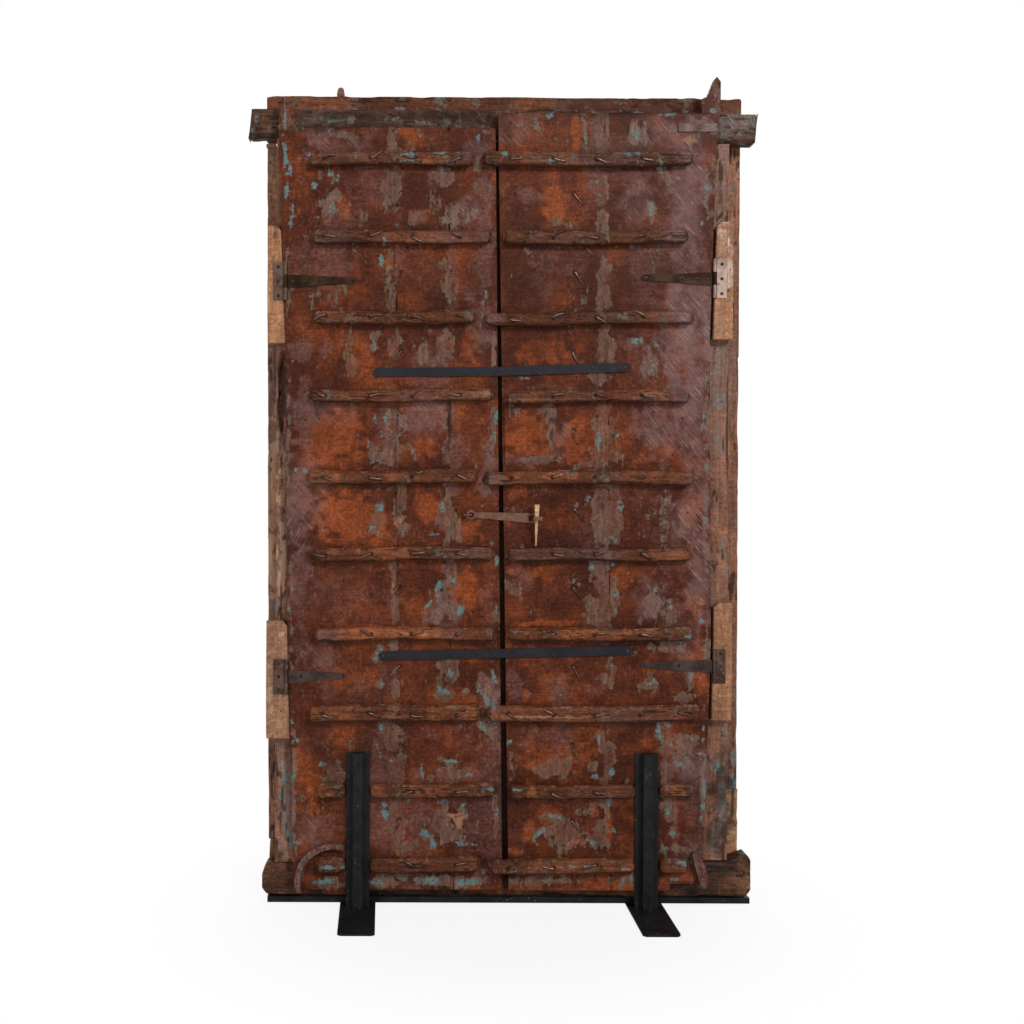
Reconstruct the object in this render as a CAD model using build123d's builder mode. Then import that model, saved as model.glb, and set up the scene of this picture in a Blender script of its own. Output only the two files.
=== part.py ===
from build123d import *
import math
import os

# Old two-leaf door of hewn planks in its own timber frame, held upright by a welded steel stand.
# The battened inner face looks to -Y, the studded outer face to +Y, and +Z is up.
# The origin is on the floor, in the middle of the bounding box. Sizes are in millimetres.

# Depths, counted from the inner face of the leaves towards the outer face
inner_face = -64.0
leaf_thickness = 35.0
beam_thickness = 65.0
casing_thickness = 28.0
batten_depth = 32.0
outer_face = inner_face + leaf_thickness
beam_front = outer_face + beam_thickness

# Leaves
leaf_reach = 600.0
left_leaf_top = 2173.0
right_leaf_top = 2215.0
left_leaf_bottom = 52.0
right_leaf_bottom = 51.0
broken_corner_bottom = 72.0
broken_corner_x = 466.0
split_block_drop = 14.0
split_left = -498.0
split_right = -430.0
left_seam_outer = -295.0
left_seam_inner = -147.0
right_seam = 292.0
seam_lean = 11.0
left_meeting_edge = -13.0
left_meeting_lean = 13.0
right_meeting_edge = 3.0
right_meeting_lean = 18.0
plank_joint = 0.6
horn_width = 46.0
horn_height = 81.0
spike_width = 49.0
spike_height = 100.0
spike_overhang = 9.0

# Outlines of the worn horn and spike: shares of their width, from the outer edge, and of their height
horn_shape = [(1, 0), (0.75, 0.72), (0.2, 1), (-0.05, 0.84), (0, 0)]
spike_shape = [(0, 0), (0, 0.88), (0.19, 1), (0.33, 0.93), (0.72, 0.46), (1, 0.4), (1, 0)]

# How far each leaf's outer edge stands from leaf_reach, by height: the old edge is not straight
left_edge_offsets = [(50, -24), (470, -10), (748, -3), (1568, 6), (2110, 25), (2173, 26)]
right_edge_offsets = [(72, -44), (451, -31), (757, -22), (1591, -28), (1911, -18), (2175, -9)]

# Timber frame
lintel_reach = 716.0
lintel_height = 88.0
lintel_bottom_left = 2150.0
lintel_bottom_right = 2138.0
lintel_end_slant = 9.0
sill_reach_left = 671.0
sill_reach_right = 703.0
sill_bottom = 22.0
sill_top_left = 117.0
sill_top_right = 127.0
sill_ear_right = 147.0
sill_corner = 14.0
jamb_lap = 55.0
jamb_width = 92.0
scoop_depth = 18.0
scoop_height = 260.0
scoop_middle = 1436.0
scoop_width = 26.0
scoop_behind_leaf = 11.0
scoop_slope = 30.0
casing_inset = 46.0
casing_width = 106.0
casing_top = 2291.0
casing_drop = 5.0
casing_overrun = 16.0
casing_foot_left = 165.0
casing_foot_right = 312.0
shim_thickness = 10.0
shim_length = 27.0
shim_slant = 2.0
casing_reach = lintel_reach - casing_inset

# How far the bottom and top of each upright casing board's outer edge stand from casing_reach
casing_edges = {
    "casing_left": (-10, 0),
    "casing_right": (10, 14),
    "casing_foot_left": (-8, -14),
    "casing_foot_right": (12, 15),
}
post_width = 90.0
post_depth = 40.0
post_middle = -6.0
post_end_gap = 0.4
post_chamfer = 8.0

# Battens, top row first: unevenness, inset of the left and right outer ends, height, and
# whether the right batten laps over the left leaf
top_row = 2081.0
row_pitch = 217.0
batten_rows = [
    (0, 54, 78, 45, True),
    (1, 64, 90, 47, False),
    (-6, 66, 74, 43, True),
    (-5, 59, 84, 42, False),
    (-13, 54, 71, 47, True),
    (-9, 71, 80, 44, False),
    (-13, 75, 73, 44, False),
    (-16, 59, 52, 54, True),
    (-14, 84, 67, 46, False),
    (-2, 82, 84, 50, True),
]
batten_lap = 46.0
batten_setback = 20.0
batten_stations = [0, 0.28, 0.5, 0.76, 1]
batten_rise = 4.0
batten_wave = 3.0
batten_end_scale = 0.72
batten_end_length = 14.0
batten_bevel_depth = 16.0
batten_bevel_height = 10.0

# Studs and the nails that are bent over on the battens
left_columns = [-497.0, -369.0, -252.0, -127.0]
right_columns = [137.0, 254.0, 381.0, 512.0]
post_column = 17.0
left_between_column = -288.0
right_between_column = 197.0
stud_radius = 17.0
stud_rise = 11.0
stud_facets = 8
stud_rim = 3.0
stud_crown = 7.0
stud_clearance = 2.0
nail_length = 28.0
nail_point = 2.6
nail_lift = 1.0
nail_turns = [12, -24, 34, -8, 170, 22, -158, -30, 5, 152, -15]
plank_nail_length = 36.0
between_rise = 16.0
nail_width = 6.0
nail_thickness = 2.6

# T-hinges: height of the pin's middle, offset from the leaf edge, strap length, plate height,
# plate width, and how far the packing block's middle lies from the hinge
hinges = {
    "upper_left": (1743.0, 5.0, 202.0, 105.0, 34.0, -8.0),
    "lower_left": (644.0, -7.0, 170.0, 97.0, 36.0, -9.0),
    "upper_right": (1754.0, 8.0, 206.0, 108.0, 34.0, -4.0),
    "lower_right": (677.0, 12.0, 208.0, 95.0, 31.0, 12.0),
}
hinge_sheet = 2.5
knuckle_radius = 5.8
hinge_pin_radius = 3.0
hinge_pin_play = 0.06
knuckle_gap = 0.3
strap_root = 37.0
strap_tip = 15.0
strap_tilt = 3.0
block_height = 328.0
block_overhang_left = 22.0
block_overhang_right = 3.0
block_gap_left = 1.0
block_gap_right = 9.0
block_corner = 14.0
hinge_pin_end = 1.5
strap_screw_shares = [0.1, 0.24, 0.47, 0.93]
plate_screw_share = 0.6
plate_screw_spread = 0.38

# Hasp, its staples and the wooden peg
hasp_height = 1091.0
hasp_eye_x = -89.0
hasp_eye_radius = 14.0
hasp_hole_radius = 7.0
hasp_thickness = 4.0
hasp_neck = 15.0
hasp_neck_sink = 6.0
hasp_wide = 30.0
hasp_tilt = 9.0
hasp_end = 98.0
staple_iron = 4.0
staple_height = 12.0
staple_left = 80.0
staple_width = 27.0
staple_depth = 37.0
staple_bend_share = 0.9
hasp_slot_height = 14.0
hasp_slot_length = 22.0
eye_staple_width = 26.0
eye_staple_iron = 5.0
eye_staple_depth = 12.0
peg_width = 13.5
peg_depth = 12.0
peg_tip = 3.2
peg_tilt = 12.0
peg_top = 1125.0
peg_clearance = 0.3
peg_place_share = 0.42

# Pivot knees at the lower corners, iron band and lug
knee_depth = 20.0
knee_tip = 46.0

# Knee outlines, measured inwards from the leaf's lower corner and up from the pivot's tip
knee_pivot = [(1, 16), (8, 0), (20, 4)]
knee_inner = [(20, 4), (38, 88), (139, 118)]
knee_outer = [(139, 134), (30, 107), (1, 16)]
finger_pivot = [(8, 22), (-1, 16), (-11, 21)]
finger_outer = [(-11, 21), (0, 90), (26, 120)]
finger_inner = [(32, 109), (20, 66), (8, 22)]
band_width = 22.0
band_thickness = 3.0
band_length = 108.0
band_height = 2174.0
lug_radius = 11.5
lug_height = 22.0
lug_shoulder = 14.0
lug_thickness = 18.0
lug_neck_share = 0.8
lug_x = -459.0

# Steel stand and cross straps
foot_width = 99.0
foot_length = 576.0
foot_thickness = 6.0
foot_corner = 8.0
foot_x = 401.0
flange_width = 65.0
flange_thickness = 5.0
tube_width = 28.0
tube_depth = 25.0
tube_wall = 2.5
upright_top = 436.0
upright_clearance = 3.0
rail_reach_left = 655.0
rail_reach_right = 698.0
rail_wall = 3.0
strap_width = 25.0
strap_thickness = 5.0
upper_strap = [(-348.0, 1491.0), (-23.0, 1494.0), (336.0, 1507.0)]
lower_strap = [(-333.0, 703.0), (8.0, 711.0), (346.0, 720.0)]
screw_radius = 4.5
screw_rise = 2.0
screw_facets = 6


def write_piece(piece, name):
    """Labels a finished piece and writes it under its own name."""
    piece.label = name
    export_step(piece, f"parts/{name}.step")


def line_value(points, at):
    """Value at one place along a broken line of (place, value) points, held level past its ends."""
    if at <= points[0][0]:
        return points[0][1]
    for (start, first), (end, last) in zip(points, points[1:]):
        if at <= end:
            return first + (last - first) * (at - start) / (end - start)
    return points[-1][1]


def left_edge(height):
    return -leaf_reach - line_value(left_edge_offsets, height)


def right_edge(height):
    return leaf_reach + line_value(right_edge_offsets, height)


def leaning(x_at_middle, height, lean):
    """X of an upright edge that leans to -X as it rises, by lean above and below mid height."""
    middle = left_leaf_top / 2
    return x_at_middle - lean * (height - middle) / middle


def lintel_bottom(x):
    share = (x + lintel_reach) / (2 * lintel_reach - lintel_end_slant)
    return lintel_bottom_left + (lintel_bottom_right - lintel_bottom_left) * share


def sill_top(x):
    """The sill is level to the left of the leaves and climbs to the right jamb's outer face."""
    share = max(0, x + leaf_reach) / (2 * leaf_reach + jamb_width - jamb_lap)
    return sill_top_left + (sill_top_right - sill_top_left) * share


def board(outline, near_face, thickness):
    """Flat board: an outline in X and Z, from its face nearest -Y back to its thickness."""
    with BuildPart() as piece:
        with BuildSketch(Plane.XZ.offset(-near_face)):
            with BuildLine():
                Polyline(*outline, close=True)
            make_face()
        extrude(amount=-thickness)
    return piece.part


def row_height(row):
    return top_row - row * row_pitch + batten_rows[row][0]


# Lintel and sill run past the jambs as horns
lintel_outline = [
    (-lintel_reach, lintel_bottom_left),
    (lintel_reach - lintel_end_slant, lintel_bottom_right),
    (lintel_reach, lintel_bottom_right + lintel_height),
    (-lintel_reach + lintel_end_slant, lintel_bottom_left + lintel_height),
]
write_piece(board(lintel_outline, outer_face, beam_thickness), "lintel")

sill_outline = [
    (-sill_reach_left + sill_corner, sill_bottom),
    (sill_reach_right - sill_corner, sill_bottom),
    (sill_reach_right, sill_bottom + sill_corner),
    (sill_reach_right, sill_ear_right - sill_corner),
    (sill_reach_right - sill_corner, sill_ear_right),
    (leaf_reach + jamb_width - jamb_lap, sill_top_right),
    (-leaf_reach, sill_top_left),
    (-sill_reach_left + sill_corner, sill_top_left),
    (-sill_reach_left, sill_top_left - 2 * sill_corner),
    (-sill_reach_left, sill_bottom + sill_corner),
]
write_piece(board(sill_outline, outer_face, beam_thickness), "sill")


def jamb_outline(side):
    """Jamb between sill and lintel: its inner edge lies behind the leaf, by the lap."""
    inner = side * (leaf_reach - jamb_lap)
    outer = inner + side * jamb_width
    return [
        (inner, sill_top(inner)),
        (outer, sill_top(outer)),
        (outer, lintel_bottom(outer)),
        (inner, lintel_bottom(inner)),
    ]


write_piece(board(jamb_outline(1), outer_face, beam_thickness), "jamb_right")

# The left jamb has a long hollow worn or cut into its face beside the leaf
scoop_x = left_edge(scoop_middle)
with BuildPart() as jamb_left:
    add(board(jamb_outline(-1), outer_face, beam_thickness))
    with BuildSketch(Plane.XZ.offset(-outer_face)):
        with BuildLine():
            ThreePointArc(
                (scoop_x, scoop_middle - scoop_height / 2),
                (scoop_x - scoop_width, scoop_middle),
                (scoop_x, scoop_middle + scoop_height / 2),
            )
            ThreePointArc(
                (scoop_x, scoop_middle + scoop_height / 2),
                (scoop_x + scoop_behind_leaf, scoop_middle),
                (scoop_x, scoop_middle - scoop_height / 2),
            )
        make_face()
    extrude(amount=-scoop_depth, taper=scoop_slope, mode=Mode.SUBTRACT)
write_piece(jamb_left.part, "jamb_left")

# Casing boards on the outer face of the frame, with their separate lower pieces and a shim
head_bottom = lintel_bottom_left
casing_head = [
    (-casing_reach, head_bottom),
    (casing_reach + casing_overrun, head_bottom),
    (casing_reach + casing_overrun, casing_top - casing_drop),
    (-casing_reach, casing_top),
]
write_piece(board(casing_head, beam_front, casing_thickness), "casing_head")


def casing_side(name, side, bottom, top):
    """Upright casing board whose outer edge may lean and whose inner edge is plumb."""
    inner = side * (casing_reach - casing_width)
    at_bottom, at_top = casing_edges[name]
    outline = [
        (inner, bottom),
        (side * (casing_reach + at_bottom), bottom),
        (side * (casing_reach + at_top), top),
        (inner, top),
    ]
    write_piece(board(outline, beam_front, casing_thickness), name)


casing_side("casing_left", -1, casing_foot_left, head_bottom - shim_thickness)
casing_side("casing_right", 1, casing_foot_right, head_bottom)
casing_side("casing_foot_left", -1, sill_bottom, casing_foot_left)
casing_side("casing_foot_right", 1, sill_bottom, casing_foot_right)
shim_outline = [
    (-casing_reach, head_bottom - shim_thickness),
    (-casing_reach + shim_length, head_bottom - shim_thickness),
    (-casing_reach + shim_length - shim_slant, head_bottom),
    (-casing_reach, head_bottom),
]
write_piece(board(shim_outline, beam_front, casing_thickness), "casing_shim")

# Planks of the left leaf: the outer stile with its pivot horn, then two planks to the meeting edge
left_edge_line = [(left_edge(height), height) for height, offset in left_edge_offsets[1:-1]]


def seam(x_at_middle, height, lean, side):
    """Point on a plank's edge beside a seam, half the joint away from it on the given side."""
    return (leaning(x_at_middle, height, lean) + side * plank_joint / 2, height)


left_stile = [
    (left_edge(left_leaf_bottom), left_leaf_bottom),
    (split_left, left_leaf_bottom),
    (split_left, left_leaf_bottom - split_block_drop),
    (split_right, left_leaf_bottom - split_block_drop),
    (split_right, left_leaf_bottom),
    seam(left_seam_outer, left_leaf_bottom, seam_lean, -1),
    seam(left_seam_outer, left_leaf_top, seam_lean, -1),
]
for across, up in horn_shape:
    horn_x = left_edge(left_leaf_top) + across * horn_width
    left_stile.append((horn_x, left_leaf_top + up * horn_height))
left_stile += left_edge_line[::-1]
write_piece(board(left_stile, inner_face, leaf_thickness), "left_stile")

left_plank_middle = [
    seam(left_seam_outer, left_leaf_bottom, seam_lean, 1),
    seam(left_seam_inner, left_leaf_bottom, seam_lean, -1),
    seam(left_seam_inner, left_leaf_top, seam_lean, -1),
    seam(left_seam_outer, left_leaf_top, seam_lean, 1),
]
write_piece(board(left_plank_middle, inner_face, leaf_thickness), "left_plank_middle")

left_plank_inner = [
    seam(left_seam_inner, left_leaf_bottom, seam_lean, 1),
    (leaning(left_meeting_edge, left_leaf_bottom, left_meeting_lean), left_leaf_bottom),
    (leaning(left_meeting_edge, left_leaf_top, left_meeting_lean), left_leaf_top),
    seam(left_seam_inner, left_leaf_top, seam_lean, 1),
]
write_piece(board(left_plank_inner, inner_face, leaf_thickness), "left_plank_inner")

# Planks of the right leaf: the outer stile rises into a tall pointed pivot
right_edge_line = [(right_edge(height), height) for height, offset in right_edge_offsets[1:]]
spike_root = right_edge(right_leaf_top) + spike_overhang
right_stile = [
    seam(right_seam, right_leaf_bottom, seam_lean, 1),
    (broken_corner_x, right_leaf_bottom),
    (broken_corner_x, broken_corner_bottom),
    (right_edge(broken_corner_bottom), broken_corner_bottom),
]
right_stile += right_edge_line
for across, up in spike_shape:
    right_stile.append((spike_root - across * spike_width, right_leaf_top + up * spike_height))
right_stile.append(seam(right_seam, right_leaf_top, seam_lean, 1))
write_piece(board(right_stile, inner_face, leaf_thickness), "right_stile")

right_plank_inner = [
    (leaning(right_meeting_edge, right_leaf_bottom, right_meeting_lean), right_leaf_bottom),
    seam(right_seam, right_leaf_bottom, seam_lean, -1),
    seam(right_seam, right_leaf_top, seam_lean, -1),
    (leaning(right_meeting_edge, right_leaf_top, right_meeting_lean), right_leaf_top),
]
write_piece(board(right_plank_inner, inner_face, leaf_thickness), "right_plank_inner")

# Meeting post on the outer face: it covers the gap between the leaves
post_bottom = sill_top(post_middle + post_width / 2) + post_end_gap
post_top = lintel_bottom(post_middle + post_width / 2) - post_end_gap
with BuildPart() as meeting_post:
    with BuildSketch(Plane.XY.offset(post_bottom)):
        with Locations((post_middle, outer_face + post_depth / 2)):
            Rectangle(post_width, post_depth)
    extrude(amount=post_top - post_bottom)
    chamfer(meeting_post.faces().sort_by(Axis.Y)[-1].edges().filter_by(Axis.Z), post_chamfer)
write_piece(meeting_post.part, "meeting_post")


def batten_span(row, side):
    """Inner and outer end of one batten, from the gap between the leaves and the row's inset."""
    unevenness, left_inset, right_inset, height, laps = batten_rows[row]
    gap = leaning((left_meeting_edge + right_meeting_edge) / 2, row_height(row), left_meeting_lean)
    if side < 0:
        inner = gap - batten_setback - (batten_lap if laps else 0)
        return -leaf_reach + left_inset, inner
    inner = gap - batten_lap if laps else gap + batten_setback / 2
    return inner, leaf_reach - right_inset


def batten_line(row, side):
    """Middle line of a batten: it climbs a little and sags or crowns by hand."""
    start, end = batten_span(row, side)
    line = []
    for share in batten_stations:
        wave = batten_wave * math.sin(2 * math.pi * share + row + side)
        climb = batten_rise * (share - 0.5)
        line.append((start + (end - start) * share, row_height(row) + climb + wave))
    return line


def hewn_batten(row, side):
    """One batten along its wavy middle line, flat on the planks, bevelled all round its front face
    and hewn narrower at both ends."""
    line = batten_line(row, side)
    half = batten_rows[row][3] / 2
    end_half = half * batten_end_scale
    stations = [(line[0][0], line[0][1], end_half)]
    stations.append((line[0][0] + batten_end_length, line[0][1], half))
    for x, middle in line[1:-1]:
        stations.append((x, middle, half))
    stations.append((line[-1][0] - batten_end_length, line[-1][1], half))
    stations.append((line[-1][0], line[-1][1], end_half))
    upper = [(x, middle + reach) for x, middle, reach in stations]
    lower = [(x, middle - reach) for x, middle, reach in stations]
    with BuildPart() as piece:
        with BuildSketch(Plane.XZ.offset(-inner_face)):
            with BuildLine():
                Polyline(*upper, *lower[::-1], close=True)
            make_face()
        extrude(amount=batten_depth)
        front = piece.faces().sort_by(Axis.Y)[0]
        chamfer(front.edges(), batten_bevel_height, batten_bevel_depth, reference=front)
    return piece.part


# The two lowest rows were cut through where the stand's uprights stand on the planks
upright_notch = flange_width + 2 * upright_clearance
notched_rows = [row for row in range(len(batten_rows)) if row_height(row) < upright_top]

for row in range(len(batten_rows)):
    with BuildPart() as batten_row:
        add(hewn_batten(row, -1))
        add(hewn_batten(row, 1))
        if row in notched_rows:
            with Locations(
                (-foot_x, inner_face, row_height(row)),
                (foot_x, inner_face, row_height(row)),
            ):
                Box(upright_notch, 3 * batten_depth, 3 * batten_depth, mode=Mode.SUBTRACT)
    write_piece(batten_row.part, f"batten_row_{row + 1:02d}")


def stud_height(row):
    """The lowest studs sit just above the sill, which covers the foot of the leaves."""
    return max(row_height(row), sill_top(leaf_reach) + stud_radius + stud_clearance)


def between_heights():
    """Heights near the middle between the rows of battens, for the nails in the planks."""
    rows = range(len(batten_rows) - 1)
    return [(row_height(row) + row_height(row + 1)) / 2 + between_rise for row in rows]


# Nails of the studs, driven through from the outer face and bent over on the battens and planks
def bent_nail(x, height, face, length, turn):
    """Square nail end lying flat on a face at Y = face, narrowing to its point."""
    along = math.radians(turn)
    lie = Plane((x, face, height), x_dir=(math.cos(along), 0, math.sin(along)), z_dir=(0, -1, 0))
    with BuildPart() as piece:
        with BuildSketch(lie):
            with BuildLine():
                Polyline(
                    (0, -nail_width / 2),
                    (length, -nail_point / 2),
                    (length, nail_point / 2),
                    (0, nail_width / 2),
                    close=True,
                )
            make_face()
        extrude(amount=nail_thickness)
    return piece.part


def on_upright(x, height):
    return abs(abs(x) - foot_x) < flange_width / 2 + nail_length and height < upright_top + nail_length


nails = []
batten_face = inner_face - batten_depth
for row in range(len(batten_rows)):
    for column, x in enumerate(left_columns + [post_column] + right_columns):
        side = -1 if x < 0 else 1
        start, end = batten_span(row, side)
        turn = nail_turns[(row * 3 + column * 2) % len(nail_turns)]
        middle = line_value(batten_line(row, side), x)
        fits = start + nail_length < x < end - nail_length
        if fits and not on_upright(x, middle):
            nails.append(bent_nail(x, middle + nail_lift, batten_face, nail_length, turn))
for step, height in enumerate(between_heights()):
    for x, steep in ((left_between_column, -115), (right_between_column, -50)):
        nails.append(bent_nail(x, height, inner_face, plank_nail_length, steep - 7 * (step % 4)))
write_piece(Compound(children=nails), "clenched_nails")


# Brass studs with a hammered head, on the outer face of the planks and on the meeting post
with BuildPart() as stud_head:
    with BuildSketch(Plane(origin=(0, 0, 0), x_dir=(1, 0, 0), z_dir=(0, 1, 0))):
        RegularPolygon(stud_radius, stud_facets)
    extrude(amount=stud_rise)
    crown = stud_head.faces().sort_by(Axis.Y)[-1]
    chamfer(crown.edges(), stud_rise - stud_rim, stud_radius - stud_crown)

studs = []
for row in range(len(batten_rows)):
    for x in left_columns + right_columns:
        studs.append(stud_head.part.moved(Location((x, outer_face, stud_height(row)))))
    post_face = outer_face + post_depth
    studs.append(stud_head.part.moved(Location((post_middle, post_face, stud_height(row)))))
for height in between_heights():
    for x in (left_between_column, right_between_column):
        studs.append(stud_head.part.moved(Location((x, outer_face, height))))
write_piece(Compound(children=studs), "brass_studs")


# Steel T-hinges: a butt plate with two knuckles on a packing block, and a long tapered strap
# whose single knuckle stands between them, all on one pin
def knuckle_profile(reach, direction):
    """Section of a leaf rolled round the pin: the sheet runs off at the back of the roll."""
    Circle(knuckle_radius)
    with Locations((direction * reach / 2, knuckle_radius - hinge_sheet / 2)):
        Rectangle(reach, hinge_sheet)
    Circle(hinge_pin_radius + hinge_pin_play, mode=Mode.SUBTRACT)


with BuildPart() as screw_head:
    with BuildSketch(Plane.XZ):
        RegularPolygon(screw_radius, screw_facets)
    extrude(amount=screw_rise)

pins = []
screws = []


def pan_screw(x, height, face):
    """Low screw head on a face at Y = face, set down where the screw goes."""
    return screw_head.part.moved(Location((x, face, height)))


for place, (height, edge_offset, length, plate_height, plate_width, shift) in hinges.items():
    on_left = place.endswith("left")
    side = -1 if on_left else 1
    leaf_edge = left_edge if on_left else right_edge
    overhang = block_overhang_left if on_left else block_overhang_right
    gap = block_gap_left if on_left else block_gap_right
    pin_x = leaf_edge(height) + edge_offset
    pin_y = inner_face - knuckle_radius

    block_low = height + shift - block_height / 2
    block_high = block_low + block_height
    block_outer = side * (leaf_reach - jamb_lap + jamb_width + overhang)
    inner_low = leaf_edge(block_low) + side * gap
    inner_high = leaf_edge(block_high) + side * gap
    inner_bulge = leaf_edge(height) + side * gap
    block_outline = [
        (block_outer, block_low),
        (inner_low, block_low),
        (inner_bulge, height),
        (inner_high, block_high - block_corner),
        (inner_high + side * block_corner, block_high),
        (block_outer, block_high),
    ]
    block = board(block_outline, inner_face, leaf_thickness)
    write_piece(block, f"packing_block_{place}")

    plate_low = height - plate_height / 2
    strap_knuckle = strap_root - 2 * knuckle_gap
    with BuildPart() as hinge_plate:
        with BuildSketch(Plane.XY.offset(plate_low).move(Location((pin_x, pin_y, 0)))):
            knuckle_profile(plate_width, side)
        extrude(amount=plate_height)
        with Locations((pin_x, pin_y, height)):
            Box(
                2 * (knuckle_radius + knuckle_gap),
                4 * knuckle_radius,
                strap_root,
                mode=Mode.SUBTRACT,
            )
    write_piece(hinge_plate.part, f"hinge_plate_{place}")

    tip_x = pin_x - side * length
    tip_height = height + strap_tilt
    with BuildPart() as hinge_strap:
        with BuildSketch(Plane.XY.offset(height - strap_knuckle / 2).move(Location((pin_x, pin_y, 0)))):
            knuckle_profile(knuckle_radius + hinge_sheet, -side)
        extrude(amount=strap_knuckle)
        with BuildSketch(Plane.XZ.offset(-inner_face)):
            with BuildLine():
                Polyline(
                    (pin_x - side * knuckle_radius, height - strap_knuckle / 2),
                    (tip_x + side * strap_tip / 2, tip_height - strap_tip / 2),
                    (tip_x, tip_height),
                    (tip_x + side * strap_tip / 2, tip_height + strap_tip / 2),
                    (pin_x - side * knuckle_radius, height + strap_knuckle / 2),
                    close=True,
                )
            make_face()
        extrude(amount=hinge_sheet)
    write_piece(hinge_strap.part, f"hinge_strap_{place}")

    with BuildPart() as hinge_pin:
        with BuildSketch(Plane.XY.offset(plate_low)):
            with Locations((pin_x, pin_y)):
                Circle(hinge_pin_radius)
        extrude(amount=plate_height + hinge_pin_end)
    pins.append(hinge_pin.part)

    sheet_face = inner_face - hinge_sheet
    for share in strap_screw_shares:
        screw_x = pin_x - side * length * share
        drift = strap_tilt * share
        screws.append(pan_screw(screw_x, height + drift, sheet_face))
    for step in (-1, 0, 1):
        screw_x = pin_x + side * plate_width * plate_screw_share
        spread = step * plate_height * plate_screw_spread
        screws.append(pan_screw(screw_x, height + spread, sheet_face))

write_piece(Compound(children=pins), "hinge_pins")

# Hasp: a forged bar with a ring at one end and a slot near the other
hasp_neck_x = hasp_eye_x + hasp_eye_radius
eye_height = hasp_height + hasp_tilt / 2
end_height = hasp_height - hasp_tilt / 2
leg_middle = staple_left + staple_iron / 2
with BuildPart() as hasp:
    with BuildSketch(Plane.XZ.offset(-inner_face)):
        with BuildLine():
            Polyline(
                (hasp_neck_x - hasp_neck_sink, eye_height - hasp_neck / 2),
                (hasp_end, end_height - hasp_wide / 2),
                (hasp_end, end_height + hasp_wide / 2),
                (hasp_neck_x - hasp_neck_sink, eye_height + hasp_neck / 2),
                close=True,
            )
        make_face()
        with Locations((hasp_eye_x, eye_height)):
            Circle(hasp_eye_radius)
        with Locations((hasp_eye_x, eye_height)):
            Circle(hasp_hole_radius, mode=Mode.SUBTRACT)
        with Locations((leg_middle, end_height)):
            Rectangle(hasp_slot_length, hasp_slot_height, mode=Mode.SUBTRACT)
    extrude(amount=hasp_thickness)
write_piece(hasp.part, "hasp")


def flat_staple(left, width, depth, iron, height, tall):
    """U of flat iron standing out of the planks, its bow towards -Y."""
    outer = inner_face - depth
    with BuildPart() as piece:
        with BuildSketch(Plane.XY.offset(height - tall / 2)):
            with Locations((left + width / 2, (inner_face + outer) / 2)):
                Rectangle(width, depth)
            with Locations((left + width / 2, (inner_face + outer + iron) / 2)):
                Rectangle(width - 2 * iron, depth - iron, mode=Mode.SUBTRACT)
        extrude(amount=tall)
        bow = piece.faces().sort_by(Axis.Y)[0]
        fillet(bow.edges().filter_by(Axis.Z), iron * staple_bend_share)
    return piece.part


lock_staple = flat_staple(
    staple_left, staple_width, staple_depth, staple_iron, end_height, staple_height
)
write_piece(lock_staple, "lock_staple")
eye_staple_left = hasp_eye_x + eye_staple_iron / 2 - eye_staple_width
eye_staple = flat_staple(
    eye_staple_left, eye_staple_width, eye_staple_depth, eye_staple_iron, eye_height, eye_staple_iron
)
write_piece(eye_staple, "eye_staple")

# Wooden peg: it leans out at the top, bears on the staple's bow and stands on the batten below
peg_row = [row for row in range(len(batten_rows)) if row_height(row) < hasp_height - row_pitch / 4][0]
peg_x = staple_left + staple_iron + peg_clearance + peg_width * peg_place_share
lean = math.radians(peg_tilt)
seat = line_value(batten_line(peg_row, 1), peg_x) + batten_rows[peg_row][3] / 2
peg_foot = seat + peg_clearance + peg_tip / 2 * math.sin(lean)
peg_length = (peg_top - peg_foot) / math.cos(lean)
bow_top = end_height + staple_height / 2
share_at_bow = (peg_top - bow_top) / (peg_top - peg_foot)
half_at_bow = (peg_depth + (peg_tip - peg_depth) * share_at_bow) / 2
bow_inside = inner_face - staple_depth + staple_iron
axis_at_bow = bow_inside + peg_clearance + half_at_bow / math.cos(lean)
peg_foot_y = axis_at_bow + (bow_top - peg_foot) * math.tan(lean)
peg_origin = (peg_x, peg_foot_y, peg_foot)


def peg_wedge(width):
    """Corners of the peg seen from one side: it widens from its tip up to the given width."""
    return [
        (-peg_tip / 2, 0),
        (peg_tip / 2, 0),
        (width / 2, peg_length),
        (-width / 2, peg_length),
    ]


peg_front = Plane(peg_origin, x_dir=(1, 0, 0), z_dir=(0, -math.cos(lean), -math.sin(lean)))
peg_side = Plane(peg_origin, x_dir=(0, math.cos(lean), math.sin(lean)), z_dir=(1, 0, 0))
with BuildPart() as lock_peg:
    with BuildSketch(peg_front):
        Polygon(*peg_wedge(peg_width), align=None)
    extrude(amount=peg_depth, both=True)
    with BuildSketch(peg_side):
        Polygon(*peg_wedge(peg_depth), align=None)
    extrude(amount=peg_width, both=True, mode=Mode.INTERSECT)
write_piece(lock_peg.part, "lock_peg")

# Knees at the lower corners: curved pieces on the planks that end as the lower pivots
def knee(corner_x, side, pivot, outer, inner):
    """Curved finger from the leaf's corner inwards, between two arcs that end at the pivot."""
    placed = []
    for outline in (pivot, outer, inner):
        placed.append([(corner_x - side * across, knee_tip + up) for across, up in outline])
    pivot_line, outer_arc, inner_arc = placed
    with BuildPart() as piece:
        with BuildSketch(Plane.XZ.offset(-inner_face)):
            with BuildLine():
                Polyline(*pivot_line)
                ThreePointArc(*outer_arc)
                ThreePointArc(*inner_arc)
                Line(knee_root(outer_arc, pivot_line), knee_root(inner_arc, pivot_line))
            make_face()
        extrude(amount=knee_depth)
    return piece.part


def knee_root(arc, pivot_line):
    """The end of an arc that isn't on the pivot."""
    return arc[0] if arc[-1] in pivot_line else arc[-1]


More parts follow.
